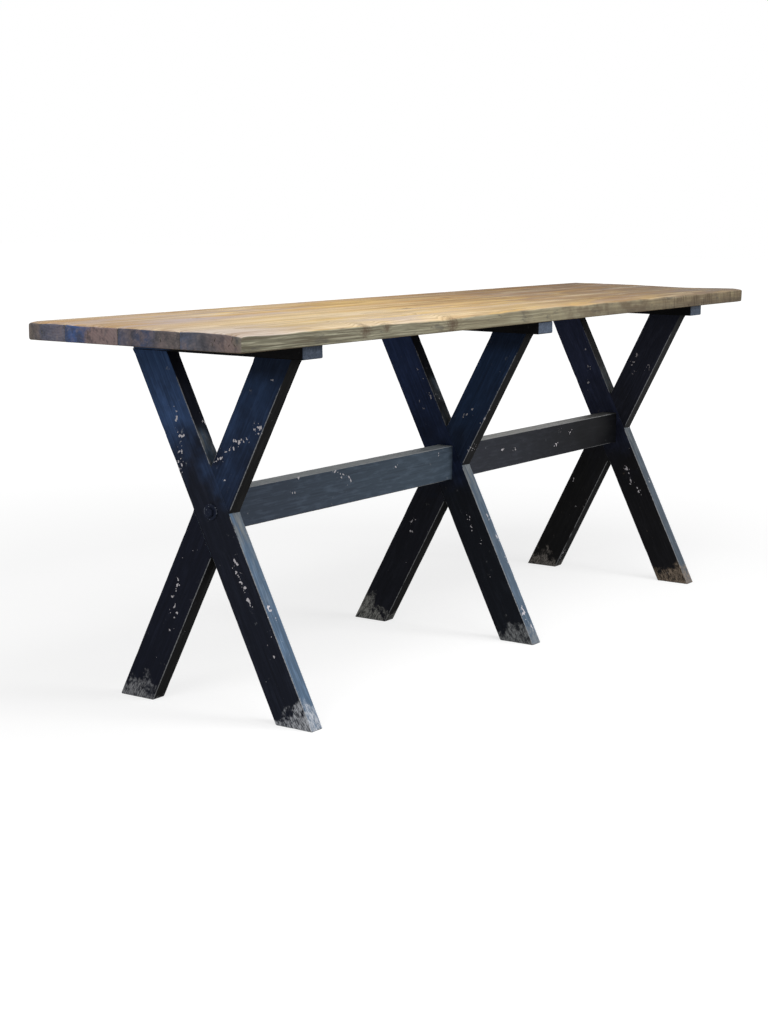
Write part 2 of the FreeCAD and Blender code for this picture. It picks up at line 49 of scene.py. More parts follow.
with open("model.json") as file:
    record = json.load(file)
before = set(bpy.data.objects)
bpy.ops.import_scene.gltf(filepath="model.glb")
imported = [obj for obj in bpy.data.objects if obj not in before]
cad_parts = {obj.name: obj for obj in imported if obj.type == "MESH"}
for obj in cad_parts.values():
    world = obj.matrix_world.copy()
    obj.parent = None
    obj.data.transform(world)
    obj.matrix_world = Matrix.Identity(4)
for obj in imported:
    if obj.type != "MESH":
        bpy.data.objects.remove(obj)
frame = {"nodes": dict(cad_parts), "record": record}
cad_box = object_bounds()

TRESTLES = ("left", "middle", "right")
LEGS = ("front_leg", "rear_leg")
BOARDS = ("top_board_front", "top_board_front_inner", "top_board_rear_inner", "top_board_rear")
MM = 0.001
NEAR = 0.2 * MM
TOP_Z = round(cad_box[1][2], 4)


# Noise and meshes
NOISE_CELLS = 32
NOISE_SEED = 11
NOISE_SHIFT = np.array((0.37, 0.71, 0.19))
SEED_STRIDE = 7
RIM_LINES = 8
RIM_BUNCHING = 1.5
SHARP_ANGLE = math.radians(38)
noise_table = np.random.default_rng(NOISE_SEED).uniform(-1, 1, (NOISE_CELLS,) * 3)


def noise(points, cell, seed=0):
    """Smooth noise between -1 and 1, with cells of one size or one size per axis."""
    places = points / np.asarray(cell) + NOISE_SHIFT * (seed + 1) * SEED_STRIDE
    low = np.floor(places).astype(int)
    part = places - low
    part = part * part * (3 - 2 * part)
    total = np.zeros(len(points))
    for corner in np.ndindex(2, 2, 2):
        share = np.prod(np.where(corner, part, 1 - part), axis=1)
        index = (low + corner) % NOISE_CELLS
        total += share * noise_table[index[:, 0], index[:, 1], index[:, 2]]
    return total


def smooth_step(values, low, high):
    """0 at low and 1 at high, with a smooth rise between."""
    part = np.clip((values - low) / (high - low), 0, 1)
    return part * part * (3 - 2 * part)


def rulings(half, step, low_rim, high_rim):
    """Lines from minus half to half about a step apart, and closer together inside the two rims."""
    closer = (np.arange(RIM_LINES) / RIM_LINES) ** RIM_BUNCHING
    count = max(2, round((2 * half - low_rim - high_rim) / step) + 1)
    inner = np.linspace(low_rim - half, half - high_rim, count)
    return np.concatenate([low_rim * closer - half, inner, (half - high_rim * closer)[::-1]])


def box_surface(x_lines, y_lines, z_lines):
    """Points and faces of a closed box whose six sides are ruled by the lines."""
    counts = (len(x_lines), len(y_lines), len(z_lines))
    lattice = np.stack(np.meshgrid(x_lines, y_lines, z_lines, indexing="ij"), axis=-1)
    outside = np.ones(counts, bool)
    outside[1:-1, 1:-1, 1:-1] = False
    number = np.full(counts, -1)
    number[outside] = np.arange(outside.sum())
    faces = []
    for axis in range(3):
        for end in (0, -1):
            side = np.take(number, end, axis=axis)
            quads = np.stack([side[:-1, :-1], side[1:, :-1], side[1:, 1:], side[:-1, 1:]], axis=-1)
            quads = quads.reshape(-1, 4)
            faces_out = (end == -1) != (axis == 1)
            faces.append(quads if faces_out else quads[:, ::-1])
    return lattice[outside], np.concatenate(faces)


def round_edges(points, half, radius):
    """Rounds the edges of a box with these half sizes, to a radius that may change from point to point."""
    inner = half - radius[:, None]
    core = np.clip(points, -inner, inner)
    away = points - core
    reach = np.linalg.norm(away, axis=1)
    return core + away * (radius / reach)[:, None]


def edge_nearness(points, half, fade):
    """1 on the edges of a box with these half sizes, fading to 0 on its faces and inside it."""
    depths = np.sort(half - np.abs(points), axis=1)
    return np.exp(-np.maximum(depths[:, 1], 0) / fade)


def box_of(node):
    """The low and high corners of a CAD node's box, its middle and its half sizes, as arrays."""
    low, high = (np.array(corner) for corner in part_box(node))
    return low, high, (low + high) / 2, (high - low) / 2


def new_object(name, points, faces):
    """A mesh object of these points and faces, linked to the scene."""
    mesh = bpy.data.meshes.new(name)
    mesh.from_pydata(np.asarray(points).tolist(), [], [list(map(int, face)) for face in faces])
    piece = bpy.data.objects.new(name, mesh)
    bpy.context.scene.collection.objects.link(piece)
    return piece


def loft(rings):
    """A closed solid over a stack of rings, each a list of as many points."""
    count = len(rings[0])
    points = [point for ring in rings for point in ring]
    last = len(points) - count
    faces = [list(range(count))[::-1], list(range(last, len(points)))]
    for low in range(0, last, count):
        for index in range(count):
            following = (index + 1) % count
            faces.append([low + index, low + following, low + count + following, low + count + index])
    return points, faces


def prism(outline, start, end):
    """A closed solid over an outline of (Y, Z) points, from one X to another."""
    return loft([[(x, y, z) for y, z in outline] for x in (start, end)])


def turned(profile, centre, sides=24):
    """A closed solid of revolution about an upright axis, from (radius, Z) points listed from below."""
    turns = np.arange(sides) * 2 * math.pi / sides
    around = [(math.cos(turn), math.sin(turn)) for turn in turns]
    rings = []
    for radius, z in profile:
        rings.append([(centre[0] + radius * x, centre[1] + radius * y, z) for x, y in around])
    return loft(rings)


def cut_away(piece, shapes):
    """Takes closed shapes out of a piece."""
    points, faces = [], []
    for shape_points, shape_faces in shapes:
        start = len(points)
        points += list(shape_points)
        faces += [[start + index for index in face] for face in shape_faces]
    cutter = new_object("cutter", points, faces)
    cut = piece.modifiers.new("cut", "BOOLEAN")
    cut.operation = "DIFFERENCE"
    cut.solver = "MANIFOLD"
    cut.object = cutter
    evaluated = piece.evaluated_get(bpy.context.evaluated_depsgraph_get())
    whole = piece.data
    piece.data = bpy.data.meshes.new_from_object(evaluated)
    piece.modifiers.clear()
    bpy.data.meshes.remove(whole)
    bpy.data.meshes.remove(cutter.data)


def points_of(piece):
    """A mesh object's points as an array."""
    places = np.zeros(len(piece.data.vertices) * 3)
    piece.data.vertices.foreach_get("co", places)
    return places.reshape(-1, 3)


def mark(piece, name, values):
    """Stores a number per point for the material to read."""
    attribute = piece.data.attributes.new(name, "FLOAT", "POINT")
    attribute.data.foreach_set("value", np.asarray(values, np.float32))


def dress(piece, material, node):
    """Gives a finished piece its material and smooth faces and hangs it under the root body.

    The CAD node that it stands for is hidden.
    """
    piece.data.materials.clear()
    piece.data.materials.append(material)
    piece.data.shade_smooth()
    piece.data.set_sharp_from_angle(angle=SHARP_ANGLE)
    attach(piece, "root")
    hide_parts(node)


# Materials
NO_SHIFT = (0.0, 0.0, 0.0)
WHITE = (1.0, 1.0, 1.0)
# Which sockets of a mix node are the ones for colours
MIX_FACTOR, MIX_FIRST, MIX_SECOND, MIX_RESULT = 0, 6, 7, 2


class Nodes:
    """A node tree and short ways to add to it."""

    def __init__(self, tree):
        self.tree = tree

    def add(self, kind, inputs=(), **settings):
        """A new node with these inputs and settings."""
        node = self.tree.nodes.new(kind)
        for setting, value in settings.items():
            setattr(node, setting, value)
        self.fill(node, inputs)
        return node

    def fill(self, node, inputs):
        """Links inputs of a node, by name or number, or sets them to a plain number or colour."""
        for key, value in dict(inputs).items():
            socket = node.inputs[key]
            if isinstance(value, bpy.types.NodeSocket):
                self.tree.links.new(value, socket)
            elif socket.type == "RGBA":
                socket.default_value = (*value, 1)
            else:
                socket.default_value = value

    def calc(self, operation, *values):
        """The result of a sum on one to three values."""
        return self.add("ShaderNodeMath", enumerate(values), operation=operation).outputs[0]

    def times(self, first, second):
        """The product of two values."""
        return self.calc("MULTIPLY", first, second)

    def line(self, value, slope, start):
        """A value times a slope, added to a start."""
        return self.calc("MULTIPLY_ADD", value, slope, start)

    def jitter(self, value, noise_value, amount):
        """A value moved to and fro by noise, over this amount in all."""
        return self.calc("ADD", value, self.line(noise_value, amount, -amount / 2))

    def vector(self, operation, *values, output="Vector"):
        """The result of a sum on vectors."""
        return self.add("ShaderNodeVectorMath", enumerate(values), operation=operation).outputs[output]

    def axes(self, vector):
        """The three parts of a vector."""
        return self.add("ShaderNodeSeparateXYZ", {0: vector}).outputs[:3]

    def step(self, value, low, high, first=0.0, last=1.0, kind="SMOOTHSTEP"):
        """First at low and last at high, with a rise of this kind between. Low may be the larger one."""
        inputs = {"Value": value, "From Min": low, "From Max": high, "To Min": first, "To Max": last}
        return self.add("ShaderNodeMapRange", inputs, interpolation_type=kind).outputs["Result"]

    def both(self, first, second):
        """The product of two steps, each given by its value, its low and its high."""
        return self.times(self.step(*first), self.step(*second))

    def blend(self, factor, first, second, kind="MIX"):
        """Goes from one colour to another as the factor goes from 0 to 1."""
        inputs = {MIX_FACTOR: factor, MIX_FIRST: first, MIX_SECOND: second}
        return self.add("ShaderNodeMix", inputs, data_type="RGBA", blend_type=kind).outputs[MIX_RESULT]

    def coats(self, colour, *coats):
        """Lays coats over a colour one by one.

        Each is a mask, its strength and a colour. Three values in place of the mask are those of a step."""
        for *mask, strength, coat in coats:
            covered = self.step(*mask) if len(mask) > 1 else mask[0]
            colour = self.blend(self.times(covered, strength), colour, coat)
        return colour

    def tones(self, value, stops):
        """A colour that runs through the stops, each a place from 0 to 1 and a colour."""
        node = self.add("ShaderNodeValToRGB", {"Fac": value})
        elements = node.color_ramp.elements
        elements[0].position = stops[0][0]
        elements[1].position = stops[-1][0]
        for place, _ in stops[1:-1]:
            elements.new(place)
        for element, (_, colour) in zip(elements, stops):
            element.color = (*colour, 1)
        return node.outputs["Color"]


class Look(Nodes):
    """One procedural material, built node by node."""

    def __init__(self, name):
        self.material = bpy.data.materials.new(name)
        self.material.use_nodes = True
        super().__init__(self.material.node_tree)
        self.surface = self.tree.nodes["Principled BSDF"]
        self.place = self.add("ShaderNodeTexCoord").outputs["Object"]

    def spread(self, cell, shift=NO_SHIFT, lean=0.0):
        """Coordinates in cells of a size per axis, turned about X first, so that a lean lies along Z."""
        inputs = {"Vector": self.place, "Location": shift, "Rotation": (-lean, 0.0, 0.0), "Scale": cell}
        return self.add("ShaderNodeMapping", inputs, vector_type="TEXTURE").outputs["Vector"]

    def distance(self, centre, reach):
        """How far a point is from a centre, in units of a reach per axis."""
        return self.vector("LENGTH", self.spread(reach, centre), output="Value")

    def grain(self, cell, detail, roughness=0.55, shift=NO_SHIFT, lean=0.0, output="Fac"):
        """Noise from 0 to 1 with one bump per cell. Cells have one size or one size per axis."""
        cells = cell if isinstance(cell, tuple) else (cell,) * 3
        vector = self.spread(cells, shift, lean)
        inputs = {"Vector": vector, "Scale": 1.0, "Detail": detail, "Roughness": roughness}
        return self.add("ShaderNodeTexNoise", inputs).outputs[output]

    def marked(self, name):
        """A number that the mesh stores under this name."""
        return self.add("ShaderNodeAttribute", attribute_name=name).outputs["Fac"]

    def facing(self):
        """The three parts of the surface's own direction."""
        return self.axes(self.add("ShaderNodeNewGeometry").outputs["Normal"])

    def complete(self, colour, roughness, height, depth, gloss):
        """Joins everything to the surface. Depth is the height in metres that a height of 1 stands for."""
        bump = self.add("ShaderNodeBump", {"Height": height, "Distance": depth}).outputs["Normal"]
        inputs = {"Base Color": colour, "Roughness": roughness, "Normal": bump, "Specular IOR Level": gloss}
        self.fill(self.surface, inputs)
        return self.material


# How each board was sawn: where its log's heart is from the board's middle, in Y and Z, and its ring width
BOARD_HEARTS = {
    "top_board_front": (0.03, -0.09, 0.0062),
    "top_board_front_inner": (-0.05, -0.07, 0.0055),
    "top_board_rear_inner": (0.04, -0.12, 0.0068),
    "top_board_rear": (-0.02, 0.1, 0.0058),
}
# Stains in the end grain, from each board's front side at 0 to its rear side at 1
END_TONES = {
    "top_board_front": (
        (0.0, (0.19, 0.17, 0.14)), (0.2, (0.24, 0.18, 0.165)), (0.5, (0.13, 0.12, 0.13)),
        (0.7, (0.125, 0.125, 0.145)), (1.0, (0.11, 0.13, 0.19)),
    ),
    "top_board_front_inner": (
        (0.0, (0.15, 0.13, 0.125)), (0.35, (0.14, 0.125, 0.13)), (0.55, (0.085, 0.1, 0.165)),
        (0.72, (0.15, 0.125, 0.13)), (1.0, (0.09, 0.11, 0.175)),
    ),
    "top_board_rear_inner": (
        (0.0, (0.27, 0.2, 0.195)), (0.54, (0.29, 0.21, 0.2)), (0.64, (0.088, 0.12, 0.235)),
        (0.9, (0.078, 0.13, 0.3)), (1.0, (0.09, 0.125, 0.22)),
    ),
    "top_board_rear": (
        (0.0, (0.19, 0.18, 0.22)), (0.6, (0.13, 0.135, 0.18)), (0.76, (0.16, 0.14, 0.135)),
        (1.0, (0.19, 0.165, 0.14)),
    ),
}
# Knots: the middle of each one and its radius. Those below the upper face lie in the front edge
KNOTS = {
    "top_board_front": (
        (-0.82, -0.298, 0.883, 0.013), (-0.735, -0.298, 0.884, 0.009), (-0.455, -0.298, 0.877, 0.016),
        (0.41, -0.21, TOP_Z, 0.009),
    ),
    "top_board_front_inner": ((-0.31, -0.07, TOP_Z, 0.011), (0.86, -0.02, TOP_Z, 0.009)),
    "top_board_rear_inner": ((0.18, 0.12, TOP_Z, 0.012), (-0.93, 0.09, TOP_Z, 0.008)),
    "top_board_rear": ((0.62, 0.25, TOP_Z, 0.01),),
}
# How far a knot's core reaches per axis, and how far it pushes the rings aside, in units of its radius
EDGE_KNOT, EDGE_KNOT_PUSH = (1.2, 4.0, 1.0), 1.2
FACE_KNOT, FACE_KNOT_PUSH = (1.2, 1.0, 4.0), 2.2
# Tones along the table, from its left end at 0 to its right end at 1
UPPER_TONES = (
    (0.02, (0.5, 0.36, 0.23)),
    (0.15, (0.6, 0.46, 0.32)),
    (0.34, (0.68, 0.49, 0.27)),
    (0.46, (0.66, 0.455, 0.22)),
    (0.55, (0.47, 0.315, 0.155)),
    (0.66, (0.33, 0.222, 0.125)),
    (0.82, (0.25, 0.182, 0.122)),
    (0.98, (0.19, 0.162, 0.142)),
)
SIDE_TONES = (
    (0.02, (0.16, 0.153, 0.11)),
    (0.2, (0.28, 0.265, 0.19)),
    (0.33, (0.275, 0.245, 0.165)),
    (0.48, (0.31, 0.28, 0.19)),
    (0.62, (0.265, 0.225, 0.15)),
    (0.8, (0.235, 0.185, 0.118)),
    (0.98, (0.215, 0.167, 0.108)),
)
# Colours of the upper face
HONEY = (0.58, 0.34, 0.12)
LILAC = (0.53, 0.46, 0.46)
UMBER = (0.25, 0.145, 0.07)
CREAM = (0.8, 0.66, 0.43)
ASH = (0.7, 0.65, 0.61)
SUNNY = (0.74, 0.52, 0.2)
STRAW = (0.82, 0.64, 0.36)
OAT = (0.46, 0.34, 0.18)
REAR_GREY = (0.3, 0.24, 0.19)
KNOT_BROWN = (0.095, 0.06, 0.042)
DIRT = (0.1, 0.075, 0.05)
SLIT = (0.07, 0.05, 0.035)
# Colours of the sawn edges
DARK_LINE = (0.12, 0.105, 0.075)
PALE_LINE = (0.44, 0.42, 0.31)
DARK_BLOTCH = (0.12, 0.085, 0.058)
PALE_BLOTCH = (0.36, 0.31, 0.19)
SMUDGE = (0.1, 0.095, 0.085)
LOW_GRIME = (0.1, 0.083, 0.066)
UPRIGHT_CHECK = (0.05, 0.04, 0.028)
EDGE_LATE_WOOD = (0.17, 0.14, 0.1)
# Colours of the end grain and of the underside
DARK_PATCH = (0.07, 0.07, 0.085)
PALE_PATCH = (0.26, 0.2, 0.19)
DARK_MOTTLE = (0.06, 0.06, 0.07)
PALE_MOTTLE = (0.3, 0.25, 0.24)
END_LATE_WOOD = (0.06, 0.055, 0.05)
UNDER_EARLY_WOOD = (0.24, 0.175, 0.11)
UNDER_LATE_WOOD = (0.14, 0.095, 0.06)
# Large stains on the upper face: the middle in X and Y, the reach in X and Y, the colour and its strength
STAINS = (
    (-0.83, -0.07, 0.55, 0.15, STRAW, 0.6),
    (-0.97, -0.22, 0.28, 0.09, OAT, 0.5),
    (-1.0, 0.06, 0.24, 0.14, LILAC, 0.4),
    (-0.22, 0.18, 0.28, 0.08, SUNNY, 0.55),
    (-0.12, -0.23, 0.3, 0.07, OAT, 0.35),
    (0.14, 0.15, 0.26, 0.14, UMBER, 0.25),
    (0.46, -0.24, 0.22, 0.08, UMBER, 0.35),
)
# How far along its log each board lies past the one before it
LOG_SHIFT = 1.7
WOOD_GLOSS = 0.02
WOOD_RELIEF = 0.45 * MM
# The scale at which a saw wave has one ring per unit
SAW_WAVE = 2 * math.pi / 20


# In the functions below, the two numbers after a place or a noise are where its mask starts and is full
def pine_knots(look, board):
    """How dark the knots are at each point, and how far they push the growth rings aside."""
    ragged = look.grain(0.006, 2.0)
    dark, push = 0.0, 0.0
    for x, y, z, radius in KNOTS[board]:
        core, aside = (EDGE_KNOT, EDGE_KNOT_PUSH) if z < TOP_Z else (FACE_KNOT, FACE_KNOT_PUSH)
        distance = look.distance((x, y, z), tuple(radius * size for size in core))
        rough = look.line(ragged, 2.4, distance)
        dark = look.calc("MAXIMUM", dark, look.step(rough, 3.0, 1.3))
        push = look.line(look.step(distance, 3.4, 0.0), aside * radius, push)
    return dark, push


def pine_rings(look, board, shift, push):
    """How far each point is on the way from early to late wood in the growth rings of its log."""
    heart_y, heart_z, ring = BOARD_HEARTS[board]
    low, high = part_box(board)
    middle = (low + high) / 2
    swing_y, swing_z = 0.07, 0.05
    stretch = (0.04, 1.0, 1.0)
    wander = look.grain((0.9, 0.5, 0.5), 1.5, 0.5, shift, output="Color")
    heart = (0.0, -middle.y - heart_y - swing_y / 2, -middle.z - heart_z - swing_z / 2)
    bent = look.vector("MULTIPLY_ADD", wander, (0.0, swing_y, swing_z), heart)
    bent = look.vector("ADD", bent, look.place)
    bent = look.vector("ADD", bent, look.add("ShaderNodeCombineXYZ", {"Z": push}).outputs[0])
    bent = look.vector("MULTIPLY", bent, stretch)
    inputs = {"Vector": bent, "Scale": SAW_WAVE / ring, "Distortion": 2.2, "Detail Scale": 1.6}
    rings = look.add("ShaderNodeTexWave", inputs, wave_type="RINGS", rings_direction="X", wave_profile="SAW")
    return look.step(rings.outputs["Fac"], 0.35, 0.95)


def pine_upper(look, tone, late, fine, x, y, shift):
    """The worn face: lilac grey at the left, honey in the middle, brown at the right and pale in front."""
    streak = look.grain((0.5, 0.04, 0.05), 5.0, 0.58, shift)
    stain = look.grain((0.55, 0.07, 0.05), 4.0, 0.58, (shift[0] + 4.0, 0.3, 0.0))
    cloud = look.grain((0.24, 0.055, 0.05), 4.0, 0.6, (shift[0], 0.7, 0.0))
    at_left = look.step(x, -0.92, -1.18)
    to_left = look.step(x, 0.0, -1.0)
    past_left = look.step(x, -0.6, 0.5)
    to_right = look.step(x, -0.1, 0.9)
    to_front = look.step(y, 0.06, -0.25)
    honeyed = look.line(to_left, -0.45, 0.9)
    honeyed = look.line(to_front, -0.45, honeyed)
    honeyed = look.line(to_right, -0.4, honeyed)
    sunny = look.calc("SUBTRACT", look.step(cloud, 0.5, 0.62), at_left)
    pale = look.both((streak, 0.47, 0.35), (fine, 0.38, 0.54))
    stains = []
    for middle_x, middle_y, reach_x, reach_y, colour, strength in STAINS:
        away = look.distance((middle_x, middle_y, TOP_Z), (reach_x, reach_y, 1.0))
        ragged = look.line(streak, 1.2, away)
        stains.append((ragged, 1.65, 0.75, strength, colour))
    return look.coats(
        look.tones(tone, UPPER_TONES),
        (to_front, look.line(past_left, -0.54, 0.6), look.blend(at_left, CREAM, ASH)),
        (look.calc("MAXIMUM", sunny, 0.0), look.line(to_right, -0.5, 0.7), SUNNY),
        (streak, 0.49, 0.61, look.calc("MAXIMUM", honeyed, 0.0), HONEY),
        (stain, 0.49, 0.64, look.line(to_left, 0.38, 0.28), LILAC),
        (stain, 0.47, 0.33, look.line(to_right, 0.2, 0.45), UMBER),
        (y, -0.05, 0.29, look.times(to_right, 0.34), UMBER),
        (y, 0.255, 0.297, 0.4, REAR_GREY),
        *stains,
        (pale, 0.6, CREAM),
        (late, 0.36, UMBER),
        (fine, 0.46, 0.34, 0.45, UMBER),
    )


def pine_side(look, tone, late, x, z, shift):
    """The sawn edges: growth lines on grey khaki at the left, brown blotches and checks at the right."""
    lines = look.grain((0.22, 0.03, 0.0042), 3.0, 0.65, shift)
    smudge = look.grain((0.08, 0.05, 0.022), 5.0, 0.7, shift)
    blotch = look.grain((0.07, 0.05, 0.06), 3.0, 0.55, (shift[0], 0.4, 0.0))
    upright = look.grain((0.006, 0.02, 0.08), 2.0, shift=shift)
    lined = look.line(look.step(x, -1.0, 0.2), -0.55, 0.8)
    to_right = look.step(x, -0.5, 0.5)
    low_down = look.both((z, 0.884, 0.866), (x, 0.1, 0.5))
    check = look.both((upright, 0.56, 0.66), (x, 0.55, 0.9))
    return look.coats(
        look.tones(tone, SIDE_TONES),
        (lines, 0.51, 0.42, lined, DARK_LINE),
        (lines, 0.53, 0.61, lined, PALE_LINE),
        (blotch, 0.48, 0.62, look.times(to_right, 0.6), DARK_BLOTCH),
        (blotch, 0.46, 0.34, look.times(to_right, 0.45), PALE_BLOTCH),
        (smudge, 0.54, 0.66, 0.6, SMUDGE),
        (low_down, 0.42, LOW_GRIME),
        (check, 0.75, UPRIGHT_CHECK),
        (late, 0.25, EDGE_LATE_WOOD),
    )


def pine_end(look, board, y, late, shift):
    """End grain: it soaks up dirt and carries blue stain in soft patches."""
    low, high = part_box(board)
    across = look.line(y, 1 / (high.y - low.y), -low.y / (high.y - low.y))
    patches = look.grain((0.05, 0.02, 0.026), 2.0, 0.5, shift)
    mottle = look.grain((0.03, 0.012, 0.012), 4.0, 0.65, shift)
    leaning = look.grain((0.05, 0.05, 0.018), 2.0, 0.5, shift)
    blurred = look.jitter(look.jitter(across, patches, 0.35), leaning, 0.35)
    return look.coats(
        look.tones(blurred, END_TONES[board]),
        (patches, 0.5, 0.3, 0.6, DARK_PATCH),
        (patches, 0.5, 0.72, 0.5, PALE_PATCH),
        (mottle, 0.48, 0.34, 0.5, DARK_MOTTLE),
        (mottle, 0.53, 0.68, 0.4, PALE_MOTTLE),
        (late, 0.12, END_LATE_WOOD),
    )


def make_pine(board, number):
    """Worn, oiled pine: growth rings about the heart of the log, long stains, grey edges and dark ends."""
    look = Look(f"pine_{board}")
    x, y, z = look.axes(look.place)
    facing_x, facing_y, facing_z = look.facing()
    shift = (LOG_SHIFT * number, 0.0, 0.0)
    low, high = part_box(board)
    knot, push = pine_knots(look, board)
    late = pine_rings(look, board, shift, push)
    fine = look.grain((0.22, 0.0035, 0.01), 3.0, 0.6, shift)
    broad = look.grain((0.5, 0.09, 0.2), 3.0, 0.5, shift)
    tone = look.jitter(look.line(x, 1 / (high.x - low.x), 0.5), broad, 0.34)

    # The face that a point belongs to, with a blurred border between the top and the edges
    blurred = look.line(look.calc("SUBTRACT", broad, fine), 0.5, look.calc("ABSOLUTE", facing_y))
    toward_end = look.step(look.calc("ABSOLUTE", facing_x), 0.18, 0.55)
    under = look.blend(look.times(late, 0.6), UNDER_EARLY_WOOD, UNDER_LATE_WOOD)

    # Seams hold dirt in places, the outer arris is rubbed pale, and short dark slits run along the grain
    dirt = look.both((look.marked("seam"), 0.3, 0.9), (broad, 0.3, 0.6))
    rubbed = look.both((look.marked("arris"), 0.3, 0.9), (fine, 0.4, 0.6))
    slits = look.grain((0.09, 0.0016, 0.0016), 2.0, shift=shift)
    slit_area = look.grain((0.3, 0.05, 0.05), 2.0, shift=shift)
    slit = look.both((slits, 0.64, 0.72), (slit_area, 0.5, 0.62))
    slit = look.times(slit, look.step(toward_end, 0.5, 0.0))

    colour = look.coats(
        pine_upper(look, tone, late, fine, x, y, shift),
        (blurred, 0.4, 0.9, 1.0, pine_side(look, tone, late, x, z, shift)),
        (toward_end, 1.0, pine_end(look, board, y, late, shift)),
        (facing_z, -0.4, -0.8, 1.0, under),
        (knot, 0.68, KNOT_BROWN),
        (dirt, 0.75, DIRT),
        (rubbed, 0.45, CREAM),
        (slit, 0.7, SLIT),
    )
    height = look.line(late, 0.5, look.times(fine, 0.5))
    height = look.calc("SUBTRACT", height, slit)
    return look.complete(colour, look.line(fine, 0.22, 0.55), height, WOOD_RELIEF, WOOD_GLOSS)


# Near black for faces that look down, a painted shade
PAINTED_UNDERSIDE_SHADE = (0.0095, 0.0095, 0.01)
WEATHERED = (0.15, 0.165, 0.175)
SCUFF = (0.43, 0.445, 0.475)


class Paint(NamedTuple):
    """Tones of a painted piece: at its start, at its end, on faces that look up and on faces that look down.

    It goes from the first tone to the last one over its span: in Z for a leg, in X for a stretcher and in Y
    for a bearer. Faces that look up are patchy between a paler and a weathered tone; the paler one is
    real fading and also painted light from above, and kicked feet show the scuff. Faces that look down
    get a painted shade, and shade under top tells how strongly a painted shade darkens a leg below the top."""

    first: tuple
    last: tuple
    faded_and_lit: tuple
    shade: tuple = PAINTED_UNDERSIDE_SHADE
    span: tuple = (0.35, 0.75)
    weathered: tuple = WEATHERED
    scuff: tuple = SCUFF
    shade_under_top: float = 0.0


# The fourth tone of a piece, where given, is its painted shade on faces that look down
PAINTS = {
    "left_front_leg": Paint(
        (0.0115, 0.0135, 0.0215), (0.06, 0.114, 0.255), (0.095, 0.145, 0.215), span=(0.5, 0.85),
        scuff=(0.6, 0.62, 0.66),
    ),
    "left_rear_leg": Paint(
        (0.0085, 0.01, 0.0175), (0.032, 0.06, 0.132), (0.095, 0.142, 0.2), (0.0165, 0.0165, 0.0168),
        span=(0.47, 0.85), scuff=(0.35, 0.355, 0.37), shade_under_top=0.6,
    ),
    "middle_front_leg": Paint(
        (0.0095, 0.011, 0.015), (0.032, 0.052, 0.128), (0.09, 0.126, 0.172), scuff=(0.28, 0.29, 0.295)
    ),
    "middle_rear_leg": Paint(
        (0.012, 0.013, 0.018), (0.026, 0.05, 0.112), (0.09, 0.122, 0.16), (0.02, 0.02, 0.0205),
        scuff=(0.46, 0.46, 0.43), shade_under_top=0.6,
    ),
    "right_front_leg": Paint(
        (0.0095, 0.0095, 0.011), (0.036, 0.045, 0.09), (0.08, 0.1, 0.125), span=(0.28, 0.68),
        scuff=(0.3, 0.235, 0.175),
    ),
    "right_rear_leg": Paint(
        (0.0115, 0.0115, 0.012), (0.026, 0.029, 0.045), (0.07, 0.085, 0.1), (0.0335, 0.0335, 0.034),
        span=(0.28, 0.68), scuff=(0.36, 0.33, 0.3),
    ),
    "left_stretcher": Paint(
        (0.05, 0.064, 0.088), (0.062, 0.084, 0.112), (0.31, 0.34, 0.36), (0.016, 0.016, 0.016),
        span=(-0.9, -0.1), weathered=(0.205, 0.23, 0.245),
    ),
    # The right stretcher darkens towards its right end: its last tone is a painted shade by the right
    # trestle
    "right_stretcher": Paint(
        (0.033, 0.036, 0.046), (0.0052, 0.0055, 0.0065), (0.47, 0.475, 0.465), (0.014, 0.014, 0.014),
        span=(0.0, 0.98), weathered=(0.36, 0.365, 0.355),
    ),
    # A bearer is near black over its front part and on its underside, a painted shade under the top
    "bearer": Paint(
        (0.009, 0.009, 0.01), (0.05, 0.092, 0.2), (0.05, 0.06, 0.08), (0.008, 0.008, 0.008),
        span=(0.06, 0.18),
    ),
}
# The ends of a bearer, lighter than its sides: a painted light from the front
BEARER_LIT_END = (0.08, 0.1, 0.138)
BARE_WOOD = (0.395, 0.4, 0.41)
ARRIS_HAZE = (0.1, 0.11, 0.12)
PRIMER = (0.66, 0.63, 0.66)
# Black for dark brush lines, and for the painted shade close under the top
GRAIN_AND_SHADE_BLACK = (0.006, 0.006, 0.007)
LIGHTER = (1.9, 1.9, 1.9)
PAINT_GLOSS = 0.03
PAINT_RELIEF = 0.3 * MM
# Where the painted shade under the top begins and is full on a leg in Z, and where a painted shade
# darkens a stretcher's upper face towards its right end in X
SHADE_UNDER_TOP_SPAN = (0.762, 0.802)
RAIL_TOP_PAINTED_SHADE = (0.5, 1.05)


